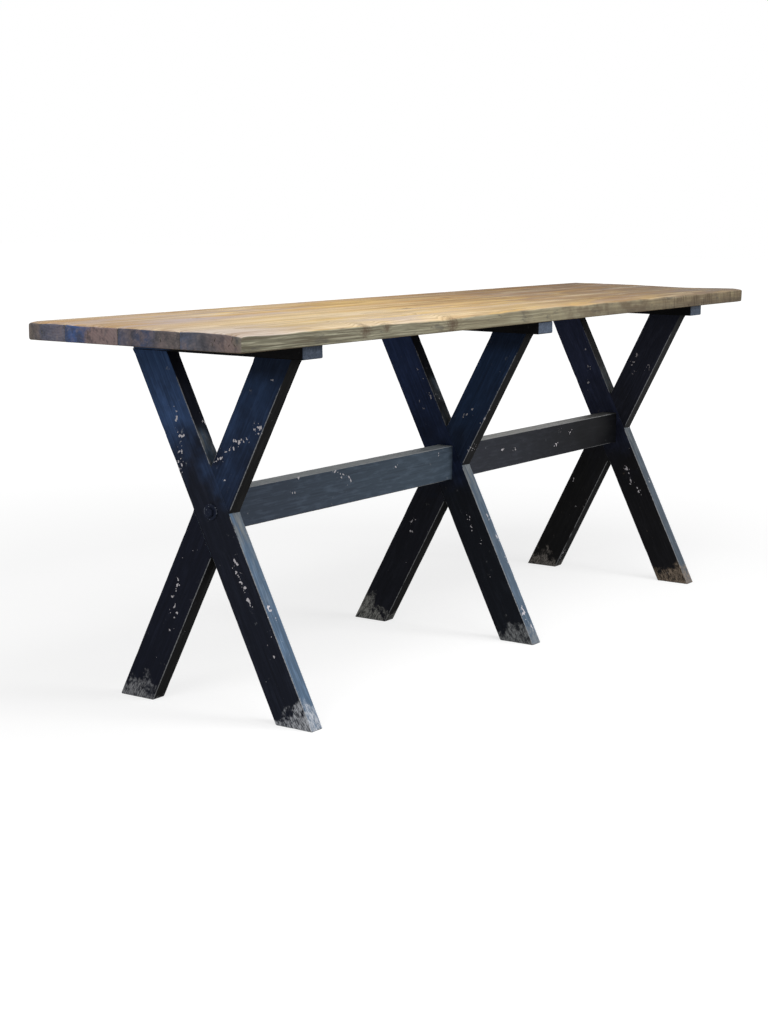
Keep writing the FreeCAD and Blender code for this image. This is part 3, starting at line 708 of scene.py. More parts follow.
def make_paint(name, paint, run="z", lean=0.0):
    """Dark paint on planed wood: brush lines, clouds and the damage of years."""
    tones = PAINTS[paint]
    look = Look(name)
    x, y, z = look.axes(look.place)
    _, facing_y, facing_z = look.facing()

    def along_run(long, short):
        return tuple(long if axis == run else short for axis in "xyz")

    fibres = look.grain(along_run(0.2, 0.004), 2.0, 0.6, lean=lean)
    cloud = look.grain(0.13, 4.0, 0.6)
    mottle = look.grain(along_run(0.06, 0.012), 3.0, 0.6, lean=lean)
    level = look.jitter(z, cloud, 0.5)
    reached = look.jitter({"x": x, "y": y, "z": z}[run], cloud, 0.5)
    downward = look.step(facing_z, -0.25, -0.4)
    # Faces that look up: real fading that is also painted light from above, patchy with weathering
    patchy = look.blend(look.step(mottle, 0.36, 0.62), tones.faded_and_lit, tones.weathered)
    if run == "x":
        # A stretcher's upper face darkens towards its right end, a painted shade by the right trestle
        looking_up = look.blend(look.step(x, *RAIL_TOP_PAINTED_SHADE), patchy, tones.last)
    else:
        patchy = look.blend(look.step(level, 0.25, 0.47), tones.faded_and_lit, patchy)
        # High on a leg they keep the dark first tone instead, a painted shadow of the top
        looking_up = look.blend(look.step(level, 0.67, 0.51), tones.first, patchy)
    colour = look.coats(
        look.blend(look.step(reached, *tones.span), tones.first, tones.last),
        # Painted shade that darkens a leg close under the top
        (z, *SHADE_UNDER_TOP_SPAN, tones.shade_under_top, GRAIN_AND_SHADE_BLACK),
        # Faces that look up: the tone worked out above, with its painted light and painted shadow
        (facing_z, 0.25, 0.4, 1.0, looking_up),
        # Faces that look down: a painted shade
        (downward, 1.0, tones.shade),
        # A bearer's ends: painted light from the front
        (look.calc("ABSOLUTE", facing_y), 0.5, 0.8, 1.0 if paint == "bearer" else 0.0, BEARER_LIT_END),
    )
    lighter = look.blend(1.0, colour, LIGHTER, "MULTIPLY")
    brushed = 0.25 if run == "x" else 0.42
    colour = look.coats(
        colour,
        (mottle, 0.46, 0.72, 0.5, lighter),
        (fibres, 0.5, 0.74, brushed, lighter),
        (fibres, 0.47, 0.28, 0.7 * brushed, GRAIN_AND_SHADE_BLACK),
    )
    colour, damage = add_damage(look, colour, tones.scuff, lean)
    roughness = look.line(fibres, 0.2, 0.33)
    roughness = look.line(downward, 0.55, roughness)
    roughness = look.line(damage, 0.3, roughness)
    height = look.calc("SUBTRACT", look.times(fibres, 0.8), damage)
    return look.complete(colour, roughness, height, PAINT_RELIEF, PAINT_GLOSS)


def add_damage(look, colour, scuffed, lean):
    """Arrises rubbed to the wood, chips down to the primer in trails, and scuffed feet."""
    specks = look.grain(0.0055, 2.0, 0.5)
    patches = look.grain(0.05, 2.0, 0.5)
    blobs = look.grain(0.0075, 1.0, 0.45)
    scratch = look.grain((0.003, 0.003, 0.012), 4.0, 0.75, lean=lean)
    border = look.grain(0.022, 4.0, 0.6)
    edge = look.marked("edge")
    haze = look.both((edge, 0.25, 0.85), (patches, 0.3, 0.62))
    ragged = look.line(specks, 0.5, edge)
    bare = look.both((ragged, 0.72, 0.92), (patches, 0.26, 0.4))
    chip = look.step(look.line(look.marked("trail"), 0.32, blobs), 0.8, 0.84)
    kicked = look.step(look.line(border, 2.6, look.marked("kicked")), 1.7, 2.25)
    scuff = look.line(look.step(scratch, 0.4, 0.6), 0.85, 0.1)
    colour = look.coats(
        colour,
        (haze, 0.3, ARRIS_HAZE),
        (bare, 0.6, BARE_WOOD),
        (chip, 0.9, PRIMER),
        (look.times(kicked, scuff), 0.9, scuffed),
    )
    return colour, look.line(bare, 0.6, chip)


def make_steel(name):
    """Zinc-plated steel with a dull, slightly clouded shine."""
    dark_zinc, pale_zinc = (0.42, 0.42, 0.4), (0.62, 0.61, 0.57)
    look = Look(name)
    scratch = look.grain((0.02, 0.0006, 0.0006), 2.0, 0.5)
    colour = look.blend(look.grain(0.006, 3.0, 0.6), dark_zinc, pale_zinc)
    look.fill(look.surface, {"Metallic": 1.0})
    return look.complete(colour, look.line(scratch, 0.25, 0.28), scratch, 0.05 * MM, 0.5)


def make_painted_steel(name):
    """Steel under the paint of the legs, rubbed grey on the washer's rim and here and there on the head.

    The grey stands for wear and also for a painted highlight.
    """
    paint, bare_steel_and_highlight = (0.016, 0.02, 0.036), (0.17, 0.185, 0.22)
    look = Look(name)
    low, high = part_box("left_washer")
    middle = (low + high) / 2
    rim = (high.y - low.y) / 2
    far = 1000.0
    from_axis = look.distance((0.0, middle.y, middle.z), (far, rim, rim))
    cloud = look.grain(0.007, 2.0, 0.5)
    # Rubbed wear on the rim and in spots on the head, which is also a painted highlight
    rubbed = look.both((from_axis, 0.9, 0.97), (cloud, 0.48, 0.66))
    rubbed = look.calc("MAXIMUM", rubbed, look.step(cloud, 0.66, 0.74))
    colour = look.blend(rubbed, paint, bare_steel_and_highlight)
    return look.complete(colour, look.line(cloud, 0.15, 0.3), cloud, 0.15 * MM, PAINT_GLOSS)


def make_dowel_wood(name):
    """Plain beech with short flecks."""
    dark_beech, pale_beech = (0.55, 0.39, 0.24), (0.78, 0.6, 0.4)
    look = Look(name)
    fibres = look.grain((0.0015, 0.02, 0.0015), 3.0, 0.6)
    return look.complete(look.blend(fibres, dark_beech, pale_beech), 0.6, fibres, 0.1 * MM, 0.3)


# The first seed of each kind of piece, and how many seeds a piece has
BOARD_SEED, LEG_SEED, STRETCHER_SEED, BEARER_SEED = 20, 200, 300, 400
SEEDS_EACH = 10

# Boards of the top
BOARD_STEP_ALONG = 10 * MM
BOARD_STEP_ACROSS = 6 * MM
OUTER_RIM = 13 * MM
SEAM_RIM = 4 * MM
SEAM_GAP = 0.15 * MM
CORNER_RADIUS = 5 * MM
END_ROUGHNESS = 0.4 * MM
END_SKIN = 2 * MM
DENTS_PER_BOARD = 14


def board_radii(local, half, outer_low, outer_high, seed):
    """The radius to which each point's nearest edge is worn."""
    line = local * (1, 0, 0)
    worn = 0.5 + 0.5 * noise(line, 0.17, seed)
    nicked = np.clip(noise(line, 0.035, seed + 1) - 0.25, 0, 1)
    upper = local[:, 2] > 0
    front_half = local[:, 1] < 0
    outer = np.where(front_half, outer_low, outer_high)
    # Radii in millimetres: the least one, and what wear and nicks add to it
    front_most = 5.0 + 4.0 * smooth_step(local[:, 0], -0.4, 0.2)
    rear_most = 1.2
    most = np.where(front_half, front_most, rear_most)
    outer_radius = np.where(upper, 1.8 + most * worn + 4.0 * nicked, 1.6 + 1.6 * worn) * MM
    seam_radius = (0.7 + 0.9 * worn * upper) * MM
    radius = np.where(outer, outer_radius, seam_radius)
    to_end = half[0] - np.abs(local[:, 0])
    to_side = half[1] - np.abs(local[:, 1])
    at_end = smooth_step(to_end, 30 * MM, 8 * MM)
    at_corner = smooth_step(to_side, 30 * MM, 10 * MM) * outer
    end_radius = (2.6 + 1.2 * noise(local, 0.03, seed + 2)) * MM
    end_radius += (CORNER_RADIUS - end_radius) * at_corner
    return radius + (end_radius - radius) * at_end


def board_relief(local, half, seed):
    """How far the worn upper face lies below the true one: hollows, ripples of the grain and dents."""
    rng = np.random.default_rng(seed)
    hollow = 0.18 * MM * (1 + noise(local, (0.45, 0.06, 1.0), seed))
    ripple = 0.1 * MM * (1 + noise(local, (0.2, 0.012, 1.0), seed + 3))
    depth = hollow + ripple
    for _ in range(DENTS_PER_BOARD):
        centre = rng.uniform(-1, 1, 2) * half[:2]
        spread = rng.uniform(9, 20) * MM
        reach = np.hypot(local[:, 0] - centre[0], local[:, 1] - centre[1])
        depth += rng.uniform(0.3, 0.9) * MM * np.exp(-((reach / spread) ** 2))
    return depth


# How far the front arris is worn down: places along the table in metres and depths in millimetres
FRONT_WEAR = (
    (-1.265, 4.0), (-1.2, 7.5), (-1.05, 7.0), (-0.68, 8.5), (-0.5, 9.5), (-0.15, 5.0), (0.06, 4.0),
    (0.2, 6.0), (0.33, 3.5), (0.45, 5.5), (0.55, 3.5), (0.62, 7.0), (0.72, 3.5), (0.9, 4.0), (1.1, 5.5),
    (1.265, 4.0),
)


def wear_front(shaped, half, upward):
    """Slopes the front of the upper face, where the table has been leant on and knocked."""
    inland, edge_inland = 18 * MM, 12 * MM
    along = shaped * (1, 0, 0)
    from_front = np.maximum(shaped[:, 1] + half[1], 0)
    places, depths = np.array(FRONT_WEAR).T
    wave = 1.2 * noise(along, 0.09, 5) + 0.6 * noise(along, 0.03, 6)
    depth = (np.interp(shaped[:, 0], places, depths) + wave) * MM
    worn = shaped.copy()
    worn[:, 2] -= depth * np.exp(-((from_front / inland) ** 1.5)) * upward
    toward_edge = np.exp(-from_front / edge_inland)
    worn[:, 1] += 0.7 * MM * (1 + noise(shaped, (0.12, 1.0, 0.03), 7)) * toward_edge
    return worn


def end_sag(shaped, high):
    """How far the right end of the upper face is worn down, where it was sat on."""
    depth, inland = 3.2 * MM, 0.16
    middle, spread = -0.1, 0.13
    across = np.exp(-(((shaped[:, 1] - middle) / spread) ** 2))
    return depth * np.exp(-(high[0] - shaped[:, 0]) / inland) * across


def end_wear(shaped, low):
    """How far the top arris of the left end is worn down, in soft bumps."""
    depth, inland = 2.6 * MM, 12 * MM
    across = shaped * (0, 1, 0)
    bumps = noise(across, 0.05, 8) + 0.6 * noise(across, 0.02, 9)
    return depth * (1 + 0.6 * bumps) * np.exp(-(np.abs(shaped[:, 0] - low[0]) / inland) ** 1.5)


# Splits in the board ends: how far across the board and up its end from 0 to 1, then the turn in degrees,
# the length and the depth in millimetres
LEFT_SPLITS = {
    "top_board_front": ((0.42, 0.62, 118, 16, 22), (0.46, 0.4, 75, 15, 20), (0.14, 0.66, 100, 17, 26),
                        (0.1, 0.4, 58, 14, 18), (0.19, 0.38, 128, 12, 16)),
    "top_board_front_inner": ((0.3, 0.45, 80, 20, 18),),
    "top_board_rear_inner": ((0.55, 0.55, 102, 16, 14),),
    "top_board_rear": ((0.62, 0.48, 66, 18, 16),),
}
RIGHT_SPLITS = 4
SPLIT_WIDTH = 2.4 * MM
SPLIT_OVERHANG = 4 * MM


def end_splits(board, low, high, seed):
    """Thin wedges that open the ends of a board: listed ones on the left and scattered ones on the right."""
    rng = np.random.default_rng(seed + 5)
    shapes = []
    for across, up, turn, length, depth in LEFT_SPLITS[board]:
        shapes.append(wedge(low, high, -1, across, up, turn, length * MM, depth * MM))
    for _ in range(RIGHT_SPLITS):
        across, up = rng.uniform(0.15, 0.85), rng.uniform(0.35, 0.65)
        size = rng.uniform(9, 18, 2) * MM
        shapes.append(wedge(low, high, 1, across, up, rng.uniform(50, 130), *size))
    return shapes


def wedge(low, high, end, across, up, turn, length, depth):
    """A thin double wedge that sits across a board end and tapers into the board."""
    face = high[0] if end > 0 else low[0]
    centre = Vector((face, low[1] + across * (high[1] - low[1]), low[2] + up * (high[2] - low[2])))
    along = Vector((0, math.cos(math.radians(turn)), math.sin(math.radians(turn))))
    side = along.cross(Vector((1, 0, 0)))
    outer = centre + Vector((end * SPLIT_OVERHANG, 0, 0))
    inner = centre - Vector((end * depth, 0, 0))
    points = [
        outer - along * length / 2,
        outer + side * SPLIT_WIDTH / 2,
        outer + along * length / 2,
        outer - side * SPLIT_WIDTH / 2,
        inner,
    ]
    faces = [(0, 1, 2, 3), (0, 4, 1), (1, 4, 2), (2, 4, 3), (3, 4, 0)]
    if (points[1] - points[0]).cross(points[2] - points[0]).dot(outer - inner) < 0:
        faces = [face_points[::-1] for face_points in faces]
    return points, faces


def mark_board(piece, local, half, outer_low, outer_high):
    """Marks the seams with other boards, and the outer arrises of the upper face and of the corners."""
    fade = 2.0 * MM
    arris_end, arris_start = 6 * MM, 3 * MM
    upward = smooth_step(local[:, 2], 0, half[2] / 2)
    nearness = edge_nearness(local, half, fade)
    outer = np.where(local[:, 1] < 0, outer_low, outer_high)
    at_corner = smooth_step(half[0] - np.abs(local[:, 0]), arris_end, arris_start)
    at_side = smooth_step(half[1] - np.abs(local[:, 1]), arris_end, arris_start)
    mark(piece, "seam", nearness * upward * ~outer)
    mark(piece, "arris", nearness * np.maximum(upward, at_corner) * at_side * outer)


def make_board(board, number):
    """A board with worn arrises, a relieved upper face and split ends."""
    low, high = box_of(board)[:2]
    outer_low = board == BOARDS[0]
    outer_high = board == BOARDS[-1]
    low[1] += 0 if outer_low else SEAM_GAP
    high[1] -= 0 if outer_high else SEAM_GAP
    middle, half = (low + high) / 2, (high - low) / 2
    side_rims = [OUTER_RIM if outer else SEAM_RIM for outer in (outer_low, outer_high)]
    x_lines = rulings(half[0], BOARD_STEP_ALONG, OUTER_RIM, OUTER_RIM)
    y_lines = rulings(half[1], BOARD_STEP_ACROSS, *side_rims)
    z_lines = rulings(half[2], BOARD_STEP_ACROSS, OUTER_RIM, OUTER_RIM)
    local, faces = box_surface(x_lines, y_lines, z_lines)
    seed = BOARD_SEED + SEEDS_EACH * number
    shaped = round_edges(local, half, board_radii(local, half, outer_low, outer_high, seed))

    upward = smooth_step(shaped[:, 2], 0, half[2])
    shaped[:, 2] -= board_relief(local, half, seed) * upward
    outward = np.sign(local[:, 0]) * smooth_step(np.abs(shaped[:, 0]), half[0] - END_SKIN, half[0])
    shaped[:, 0] -= outward * END_ROUGHNESS * (1 + noise(local, 0.012, seed + 4))
    if outer_low:
        shaped = wear_front(shaped, half, upward)
    shaped += middle
    shaped[:, 2] -= (end_sag(shaped, high) + end_wear(shaped, low)) * upward
    piece = new_object(f"{board}_worn", shaped, faces)
    cut_away(piece, end_splits(board, low, high, seed))
    mark_board(piece, points_of(piece) - middle, half, outer_low, outer_high)
    dress(piece, make_pine(board, number), board)


# Painted pieces
PAINTED_STEP = 6 * MM
LEG_RIM = 6 * MM
EDGE_FADE = 3.0 * MM
SHARP_RADIUS = 0.25 * MM
SQUARE_RADIUS = 0.5 * MM
# How far from a square end its arrises begin to sharpen, and are sharp
SQUARE_START, SQUARE_FULL = 14 * MM, 6 * MM
RELIEF_SKIN = 1.5 * MM


def worn_radii(local, base, seed):
    """Radii of the arrises of a painted piece, with nicks here and there."""
    worn = 0.5 + 0.5 * noise(local, 0.11, seed)
    nicked = np.clip(noise(local, 0.022, seed + 1) - 0.42, 0, 1)
    return base * (0.75 + 0.55 * worn) + 4.0 * MM * nicked


def painted_relief(local, seed):
    """Slight hollows of planed and painted wood."""
    depth = 0.1 * MM
    return depth * (1 + noise(local, 0.05, seed)) + depth * (1 + noise(local, 0.25, seed + 1))


def worn_bar(half, axis, base, blunt_low, blunt_high, seed, kept=None):
    """A bar along one axis with worn arrises, rounded at a blunt end and square at the other.

    Kept tells how far, from 0 to 1, the arris at each point was kept sharp."""
    local, faces = box_surface(*(rulings(size, PAINTED_STEP, LEG_RIM, LEG_RIM) for size in half))
    radius = worn_radii(local, base, seed)
    if kept:
        radius += (SHARP_RADIUS - radius) * kept(local)
    for sign, blunt in ((-1, blunt_low), (1, blunt_high)):
        if not blunt:
            square = smooth_step(sign * local[:, axis], half[axis] - SQUARE_START, half[axis] - SQUARE_FULL)
            radius += (SQUARE_RADIUS - radius) * square
    shaped = round_edges(local, half, radius)
    for index in range(3):
        if index != axis:
            outer = smooth_step(np.abs(local[:, index]), half[index] - RELIEF_SKIN, half[index])
            shaped[:, index] -= np.sign(local[:, index]) * outer * painted_relief(local, seed + 2 + index)
    return shaped, faces


def chipped(local, chips):
    """How thickly a piece is chipped round the given places, each with a reach per axis and a strength."""
    density = np.zeros(len(local))
    for centre, reach, strength in chips:
        span = np.linalg.norm((local - centre) / reach, axis=1)
        density = np.maximum(density, strength * np.exp(-(span**2)))
    return density


def scattered(half, count, reach, seed):
    """Random chips over a bar."""
    rng = np.random.default_rng(seed)
    return [(rng.uniform(-1, 1, 3) * half, reach, rng.uniform(0.6, 0.95)) for _ in range(count)]


mounts = {mount["name"]: mount["pos_m"] for mount in frame["record"]["mounts"]}


class LegLine:
    """A leaning leg: its middle plane, its foot and top, and its width square to the lean."""

    def __init__(self, trestle, leg):
        node = f"{trestle}_{leg}"
        low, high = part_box(node)
        places = points_of(frame["nodes"][node])
        top = places[places[:, 2] > high.z - NEAR][:, 1]
        self.x = (low.x + high.x) / 2
        self.thickness = high.x - low.x
        self.rise = high.z
        self.foot_y = mounts[f"{trestle}_{leg.replace('leg', 'foot')}"][1]
        self.top_y = (top.max() + top.min()) / 2
        self.lean = math.atan2(self.top_y - self.foot_y, self.rise)
        self.width = (top.max() - top.min()) * math.cos(self.lean)

    def middle(self, z):
        """The Y of the leg's middle at a height."""
        return self.foot_y + (self.top_y - self.foot_y) * z / self.rise

    def to_frame(self, local):
        """Points of an upright bar, moved to where the leaning leg is."""
        z = local[:, 2] + self.rise / 2
        y = self.middle(z) + local[:, 1] / math.cos(self.lean)
        return np.column_stack([local[:, 0] + self.x, y, z])

    def to_bar(self, places):
        """The reverse of to_frame."""
        z = places[:, 2]
        across = (places[:, 1] - self.middle(z)) * math.cos(self.lean)
        return np.column_stack([places[:, 0] - self.x, across, z - self.rise / 2])

    def outline(self, room):
        """The leg's four corners seen along X, with room each side."""
        reach = (self.width / 2 + room) / math.cos(self.lean)
        floor, top = self.middle(0), self.middle(self.rise)
        return [(floor - reach, 0), (floor + reach, 0), (top + reach, self.rise), (top - reach, self.rise)]


# Chips on the left faces of the legs: height above the floor, offset across the leg towards the rear and
# reach along the leg, in millimetres
CHIP_TRAILS = {
    "left_front_leg": (
        (697, -11, 9), (676, 0, 10), (638, 5, 14), (606, 20, 12), (576, 33, 12), (557, 42, 9),
        (360, -14, 11), (346, -3, 9), (329, -7, 12), (304, -11, 11), (276, -11, 9), (245, -5, 6),
        (206, -34, 5), (157, -21, 5),
    ),
    "left_rear_leg": (
        (776, -14, 5), (667, -36, 16), (638, -5, 12), (625, 14, 14), (593, 30, 12), (544, -1, 6),
        (307, 19, 9), (283, 11, 11), (264, 9, 8), (231, -2, 10), (218, -16, 9), (175, -17, 6),
    ),
    "middle_front_leg": (
        (712, -25, 9), (691, -31, 8), (649, -33, 12), (631, 1, 7), (610, 2, 8), (330, -8, 12), (300, -2, 10),
        (262, -10, 8),
    ),
    "middle_rear_leg": (
        (618, -1, 9), (601, 10, 8), (616, -46, 9), (590, -46, 12), (509, -44, 8), (300, 14, 10), (270, 6, 9),
    ),
    "right_front_leg": (
        (707, -26, 8), (653, -12, 9), (605, 10, 7), (341, -2, 12), (303, 2, 11), (279, -12, 11),
    ),
    "right_rear_leg": (
        (698, 24, 8), (674, 27, 10), (665, -27, 9), (644, 7, 7), (285, 30, 12), (204, -14, 7),
    ),
}
# Chips on the front sides of the legs: height, offset towards the right and reach, in millimetres
SIDE_CHIPS = {
    "left_front_leg": ((262, -6, 9), (232, 2, 8), (60, -10, 9)),
    "middle_front_leg": ((330, 8, 10), (270, 14, 11), (215, 12, 9), (85, -4, 12), (45, 8, 10)),
    "right_front_leg": ((310, 4, 8), (120, 6, 8)),
}
# How far a chip goes per axis in units of its reach: on the left face, whatever its depth, and on the front
# side
FACE_CHIP, SIDE_CHIP = np.array((math.inf, 0.8, 1.4)), np.array((0.8, 1.0, 1.6))
FACE_SKIN = 3 * MM
# Chips strewn over the other sides of a leg: their number, their strength, how far up and down they go from
# the leg's middle, and their reach
STREWN_COUNT, STREWN_STRENGTH, STREWN_RISE = 9, 0.85, 0.38
STREWN_REACH = np.array((12, 12, 24)) * MM


def leg_chips(local, line, node, seed):
    """A leg's chips: as seen on its left face and front side, and strewn at random over the other sides."""
    rng = np.random.default_rng(seed)
    left_face = local[:, 0] < -line.thickness / 2 + FACE_SKIN
    chips = []
    for height, across, reach in CHIP_TRAILS[node]:
        sizes = FACE_CHIP * (1, 1, math.cos(line.lean)) * reach * MM
        chips.append(((0, across * MM, height * MM - line.rise / 2), sizes, left_face))
    for height, aside, reach in SIDE_CHIPS.get(node, ()):
        sizes = SIDE_CHIP * reach * MM
        chips.append(((aside * MM, -line.width / 2, height * MM - line.rise / 2), sizes, ~left_face))
    for _ in range(STREWN_COUNT):
        centre = rng.uniform(-1, 1, 3) * (line.thickness / 2, line.width / 2, STREWN_RISE)
        chips.append((centre, STREWN_REACH, STREWN_STRENGTH * ~left_face))
    return chips


# How high each foot is kicked bare at its front, middle and rear, in millimetres
KICKED_FEET = {
    "left_front_leg": (64, 38, 16),
    "left_rear_leg": (4, 58, 42),
    "middle_front_leg": (46, 54, 26),
    "middle_rear_leg": (22, 48, 85),
    "right_front_leg": (58, 50, 34),
    "right_rear_leg": (10, 52, 44),
}


def foot_kicks(local, line, node):
    """0.5 on the upper border of a foot's kicked part, more below it and less above it."""
    blur = 60 * MM
    half_width = line.width / 2
    height = np.interp(local[:, 1], (-half_width, 0, half_width), KICKED_FEET[node]) * MM
    return np.clip(0.5 + (height - local[:, 2] - line.rise / 2) / blur, 0, 1.5)


LAP_ROOM = 0.05 * MM
LAP_BORDER = 6 * MM
LEG_ARRIS = 2.4 * MM
# Heights between which the arrises of a leg are less and less rubbed, because the top shelters them
SHELTER_END, SHELTER_START = 0.815, 0.755


def make_leg(trestle, leg, number):
    """A leaning leg with worn arrises, halved where it crosses the other one."""
    node = f"{trestle}_{leg}"
    line = LegLine(trestle, leg)
    other = LegLine(trestle, LEGS[1 - LEGS.index(leg)])
    half = np.array((line.thickness / 2, line.width / 2, line.rise / 2))
    seed = LEG_SEED + SEEDS_EACH * number

    def in_the_lap(local):
        across = np.abs(other.to_bar(line.to_frame(local))[:, 1])
        return smooth_step(across, other.width / 2 + LAP_BORDER, other.width / 2)

    shaped, faces = worn_bar(half, 2, LEG_ARRIS, True, False, seed, in_the_lap)
    piece = new_object(f"{node}_worn", line.to_frame(shaped), faces)
    keeps_left = leg == "front_leg"
    far_side = line.x + (1 if keeps_left else -1) * line.thickness
    cut_away(piece, [prism(other.outline(LAP_ROOM), *sorted((line.x, far_side)))])
    local = line.to_bar(points_of(piece))
    rubbed = smooth_step(local[:, 2] + line.rise / 2, SHELTER_END, SHELTER_START)
    mark(piece, "edge", edge_nearness(local, half, EDGE_FADE) * (1 - in_the_lap(local)) * rubbed)
    mark(piece, "trail", chipped(local, leg_chips(local, line, node, seed + 6)))
    mark(piece, "kicked", foot_kicks(local, line, node))
    dress(piece, make_paint(f"paint_{node}", node, lean=line.lean), node)


NUTS = {
    "left_stretcher": ("left_barrel_nut", "middle_left_barrel_nut"),
    "right_stretcher": ("middle_right_barrel_nut", "right_barrel_nut"),
}
NUT_ROOM = 0.1 * MM
BORE_OVERHANG = 5 * MM
# Chips on the front faces of the stretchers: X in the frame and height above the middle, in millimetres
STRETCHER_CHIPS = {
    "left_stretcher": ((-552, 42), (-522, 28), (-490, 14), (-505, 24), (-700, 45), (-80, 30)),
    "right_stretcher": ((256, 6), (657, 17), (572, -13), (590, 30), (330, 0)),
}
STRETCHER_CHIP_REACH = np.array((16, 9, 8)) * MM
STRETCHER_CHIP_COUNT = 10
# How far from its ends a stretcher's arrises begin to be rubbed, and are fully rubbed
RUBBED_START, RUBBED_FULL = 8 * MM, 50 * MM


def make_stretcher(label, number):
    """A rail between two trestles, bored from below for the nuts at its ends."""
    low, _, middle, half = box_of(label)
    seed = STRETCHER_SEED + SEEDS_EACH * number
    shaped, faces = worn_bar(half, 0, LEG_ARRIS, False, False, seed)
    piece = new_object(f"{label}_worn", shaped + middle, faces)
    bores = []
    for nut in NUTS[label]:
        nut_low, nut_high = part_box(nut)
        radius = (nut_high.y - nut_low.y) / 2 + NUT_ROOM
        outline = [(radius, low[2] - BORE_OVERHANG), (radius, nut_high.z)]
        bores.append(turned(outline, (nut_low + nut_high) / 2))
    cut_away(piece, bores)
    local = points_of(piece) - middle
    chips = scattered(half, STRETCHER_CHIP_COUNT, STRETCHER_CHIP_REACH, seed + 7)
    for x, up in STRETCHER_CHIPS[label]:
        chips.append(((x * MM - middle[0], -half[1], up * MM), STRETCHER_CHIP_REACH, 1.0))
    rubbed = smooth_step(half[0] - np.abs(local[:, 0]), RUBBED_START, RUBBED_FULL)
    mark(piece, "edge", edge_nearness(local, half, EDGE_FADE) * rubbed)
    mark(piece, "trail", chipped(local, chips))
    dress(piece, make_paint(f"paint_{label}", label, run="x"), label)


SCREW_HEAD_RADIUS = 5.1 * MM
SCREW_HOLE_RADIUS = 2.6 * MM
SINK_OVERHANG = 3 * MM
BEARER_ARRIS = 3.0 * MM
BEARER_RUBBED = 0.4
BEARER_CHIP_REACH = np.array((9, 14, 9)) * MM
BEARER_CHIP_COUNT = 6


def screw_centres(heads):
    """The middles of the round heads that these points lie on."""
    reach = 4 * SCREW_HEAD_RADIUS
    centres = []
    left = heads[:, :2]
    while len(left):
        near = np.hypot(*(left - left[0]).T) < reach
        group = left[near]
        centres.append((group.min(axis=0) + group.max(axis=0)) / 2)
        left = left[~near]
    return centres


def make_bearer(trestle, number):
    """A batten with blunt arrises and countersunk holes for the screws of the top."""
    label = f"{trestle}_bearer"
    low, _, middle, half = box_of(label)
    seed = BEARER_SEED + SEEDS_EACH * number
    shaped, faces = worn_bar(half, 1, BEARER_ARRIS, True, True, seed)
    piece = new_object(f"{label}_worn", shaped + middle, faces)
    screws = points_of(frame["nodes"][f"{trestle}_top_screws"])
    heads = screws[screws[:, 2] < low[2] + NEAR]
    profile = [
        (SCREW_HEAD_RADIUS + SINK_OVERHANG, low[2] - SINK_OVERHANG),
        (SCREW_HOLE_RADIUS, low[2] + SCREW_HEAD_RADIUS - SCREW_HOLE_RADIUS),
        (SCREW_HOLE_RADIUS, low[2] + half[2]),
    ]
    cut_away(piece, [turned(profile, centre) for centre in screw_centres(heads)])
    local = points_of(piece) - middle
    mark(piece, "edge", BEARER_RUBBED * edge_nearness(local, half, EDGE_FADE))
    chips = scattered(half, BEARER_CHIP_COUNT, BEARER_CHIP_REACH, seed + 7)
    mark(piece, "trail", chipped(local, chips))
    dress(piece, make_paint(f"paint_{label}", "bearer", run="y"), label)


for board_number, board_name in enumerate(BOARDS):
    make_board(board_name, board_number)
for trestle_number, trestle_name in enumerate(TRESTLES):
    for leg_number, leg_name in enumerate(LEGS):
        make_leg(trestle_name, leg_name, 2 * trestle_number + leg_number)
    make_bearer(trestle_name, trestle_number)
for stretcher_number, stretcher_name in enumerate(NUTS):
    make_stretcher(stretcher_name, stretcher_number)

# CAD pieces that keep their own shape
hidden_steel = make_steel("zinc_steel")
beech = make_dowel_wood("beech")
painted_steel = make_painted_steel("painted_steel")
for node_name, node in frame["nodes"].items():
    if node.hide_render:
        continue
    if "dowels" in node_name:
        material = beech
    elif node_name.endswith(("bolt", "washer")):
        material = painted_steel
    else:
        material = hidden_steel
    node.data.materials.clear()
    node.data.materials.append(material)


# Floor, backdrop and light
FLOOR_REACH = 30
AMBIENT = 0.3


def seen_plainly(nodes):
    """1 for rays that show the background: straight to the camera, mirrored or through glass."""
    rays = nodes.add("ShaderNodeLightPath").outputs
    either = nodes.calc("MAXIMUM", rays["Is Camera Ray"], rays["Is Glossy Ray"])
    return nodes.calc("MAXIMUM", either, rays["Is Transmission Ray"])


def make_floor_material():
    """A pale floor that shows white where no shadow falls."""
    shade = (0.34, 0.34, 0.34)
    near_lift, far_lift = 0.72, 0.97
    near_end, far_start = 1.6, 4.5
    look = Look("floor_white")
    distance = look.vector("LENGTH", look.place, output="Value")
    lift = look.step(distance, near_end, far_start, near_lift, far_lift, "LINEAR")
    glow = look.times(seen_plainly(look), lift)
    look.fill(look.surface, {"Base Color": shade, "Roughness": 1.0, "Specular IOR Level": 0.0})
    look.fill(look.surface, {"Emission Color": WHITE, "Emission Strength": glow})
    return look.material


floor_corners = [(x * FLOOR_REACH, y * FLOOR_REACH, 0) for x, y in ((-1, -1), (1, -1), (1, 1), (-1, 1))]
floor = new_object("floor", floor_corners, [(0, 1, 2, 3)])
floor.data.materials.append(make_floor_material())

world = bpy.data.worlds.new("studio")
bpy.context.scene.world = world
world.use_nodes = True
sky = Nodes(world.node_tree)
sky_strength = sky.step(seen_plainly(sky), 0.0, 1.0, AMBIENT, 1.0, "LINEAR")
sky.fill(sky.tree.nodes["Background"], {"Color": WHITE, "Strength": sky_strength})


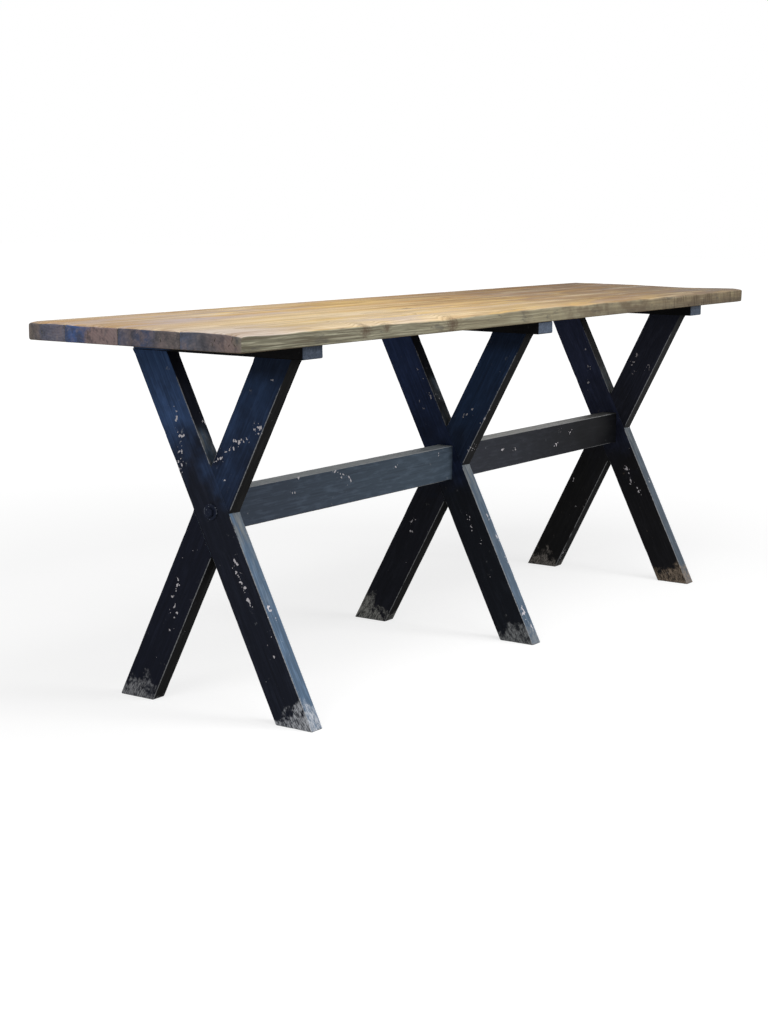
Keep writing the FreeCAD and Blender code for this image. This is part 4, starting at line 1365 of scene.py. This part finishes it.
def add_lamp(name, place, target, size, power):
    """A rectangular soft lamp that looks at a target."""
    data = bpy.data.lights.new(name, "AREA")
    data.shape = "RECTANGLE"
    data.size, data.size_y = size
    data.energy = power
    lamp = bpy.data.objects.new(name, data)
    lamp.location = place
    lamp.rotation_mode = "QUATERNION"
    lamp.rotation_quaternion = (Vector(target) - Vector(place)).to_track_quat("-Z", "Y")
    bpy.context.scene.collection.objects.link(lamp)


add_lamp("top_soft", (-0.5, -1.6, 3.6), (0.0, 0.0, 0.8), (3.2, 2.0), 75)
add_lamp("front_soft", (0.8, -4.2, 2.4), (0.0, 0.0, 0.5), (2.0, 2.0), 78)
add_lamp("left_fill", (-4.5, -0.6, 2.6), (-0.8, 0.0, 0.5), (2.0, 2.0), 65)

# The camera: where it stands, its three turns in radians, and its focal length in pixels of the picture
CAMERA_PLACE = (-4.18093, -2.61679, 1.17394)
CAMERA_YAW, CAMERA_PITCH, CAMERA_ROLL = 0.9774, 0.1669, 0.007
FOCAL_PIXELS = 1836.58
PICTURE_LONG_SIDE = 1014
SENSOR = 36.0


def add_camera():
    """A camera whose long picture side matches the sensor."""
    level = Vector((math.cos(CAMERA_YAW), -math.sin(CAMERA_YAW), 0))
    ahead = Vector((math.sin(CAMERA_YAW), math.cos(CAMERA_YAW), 0)) * math.cos(CAMERA_PITCH)
    ahead.z = -math.sin(CAMERA_PITCH)
    up = level.cross(ahead)
    right = level * math.cos(CAMERA_ROLL) + up * math.sin(CAMERA_ROLL)
    above = up * math.cos(CAMERA_ROLL) - level * math.sin(CAMERA_ROLL)
    data = bpy.data.cameras.new("camera")
    data.sensor_width = SENSOR
    data.lens = FOCAL_PIXELS * SENSOR / PICTURE_LONG_SIDE
    camera = bpy.data.objects.new("camera", data)
    turn = Matrix((right, above, -ahead)).transposed()
    camera.matrix_world = Matrix.Translation(CAMERA_PLACE) @ turn.to_4x4()
    bpy.context.scene.collection.objects.link(camera)
    bpy.context.scene.camera = camera


add_camera()
bpy.context.scene.view_settings.view_transform = "Standard"
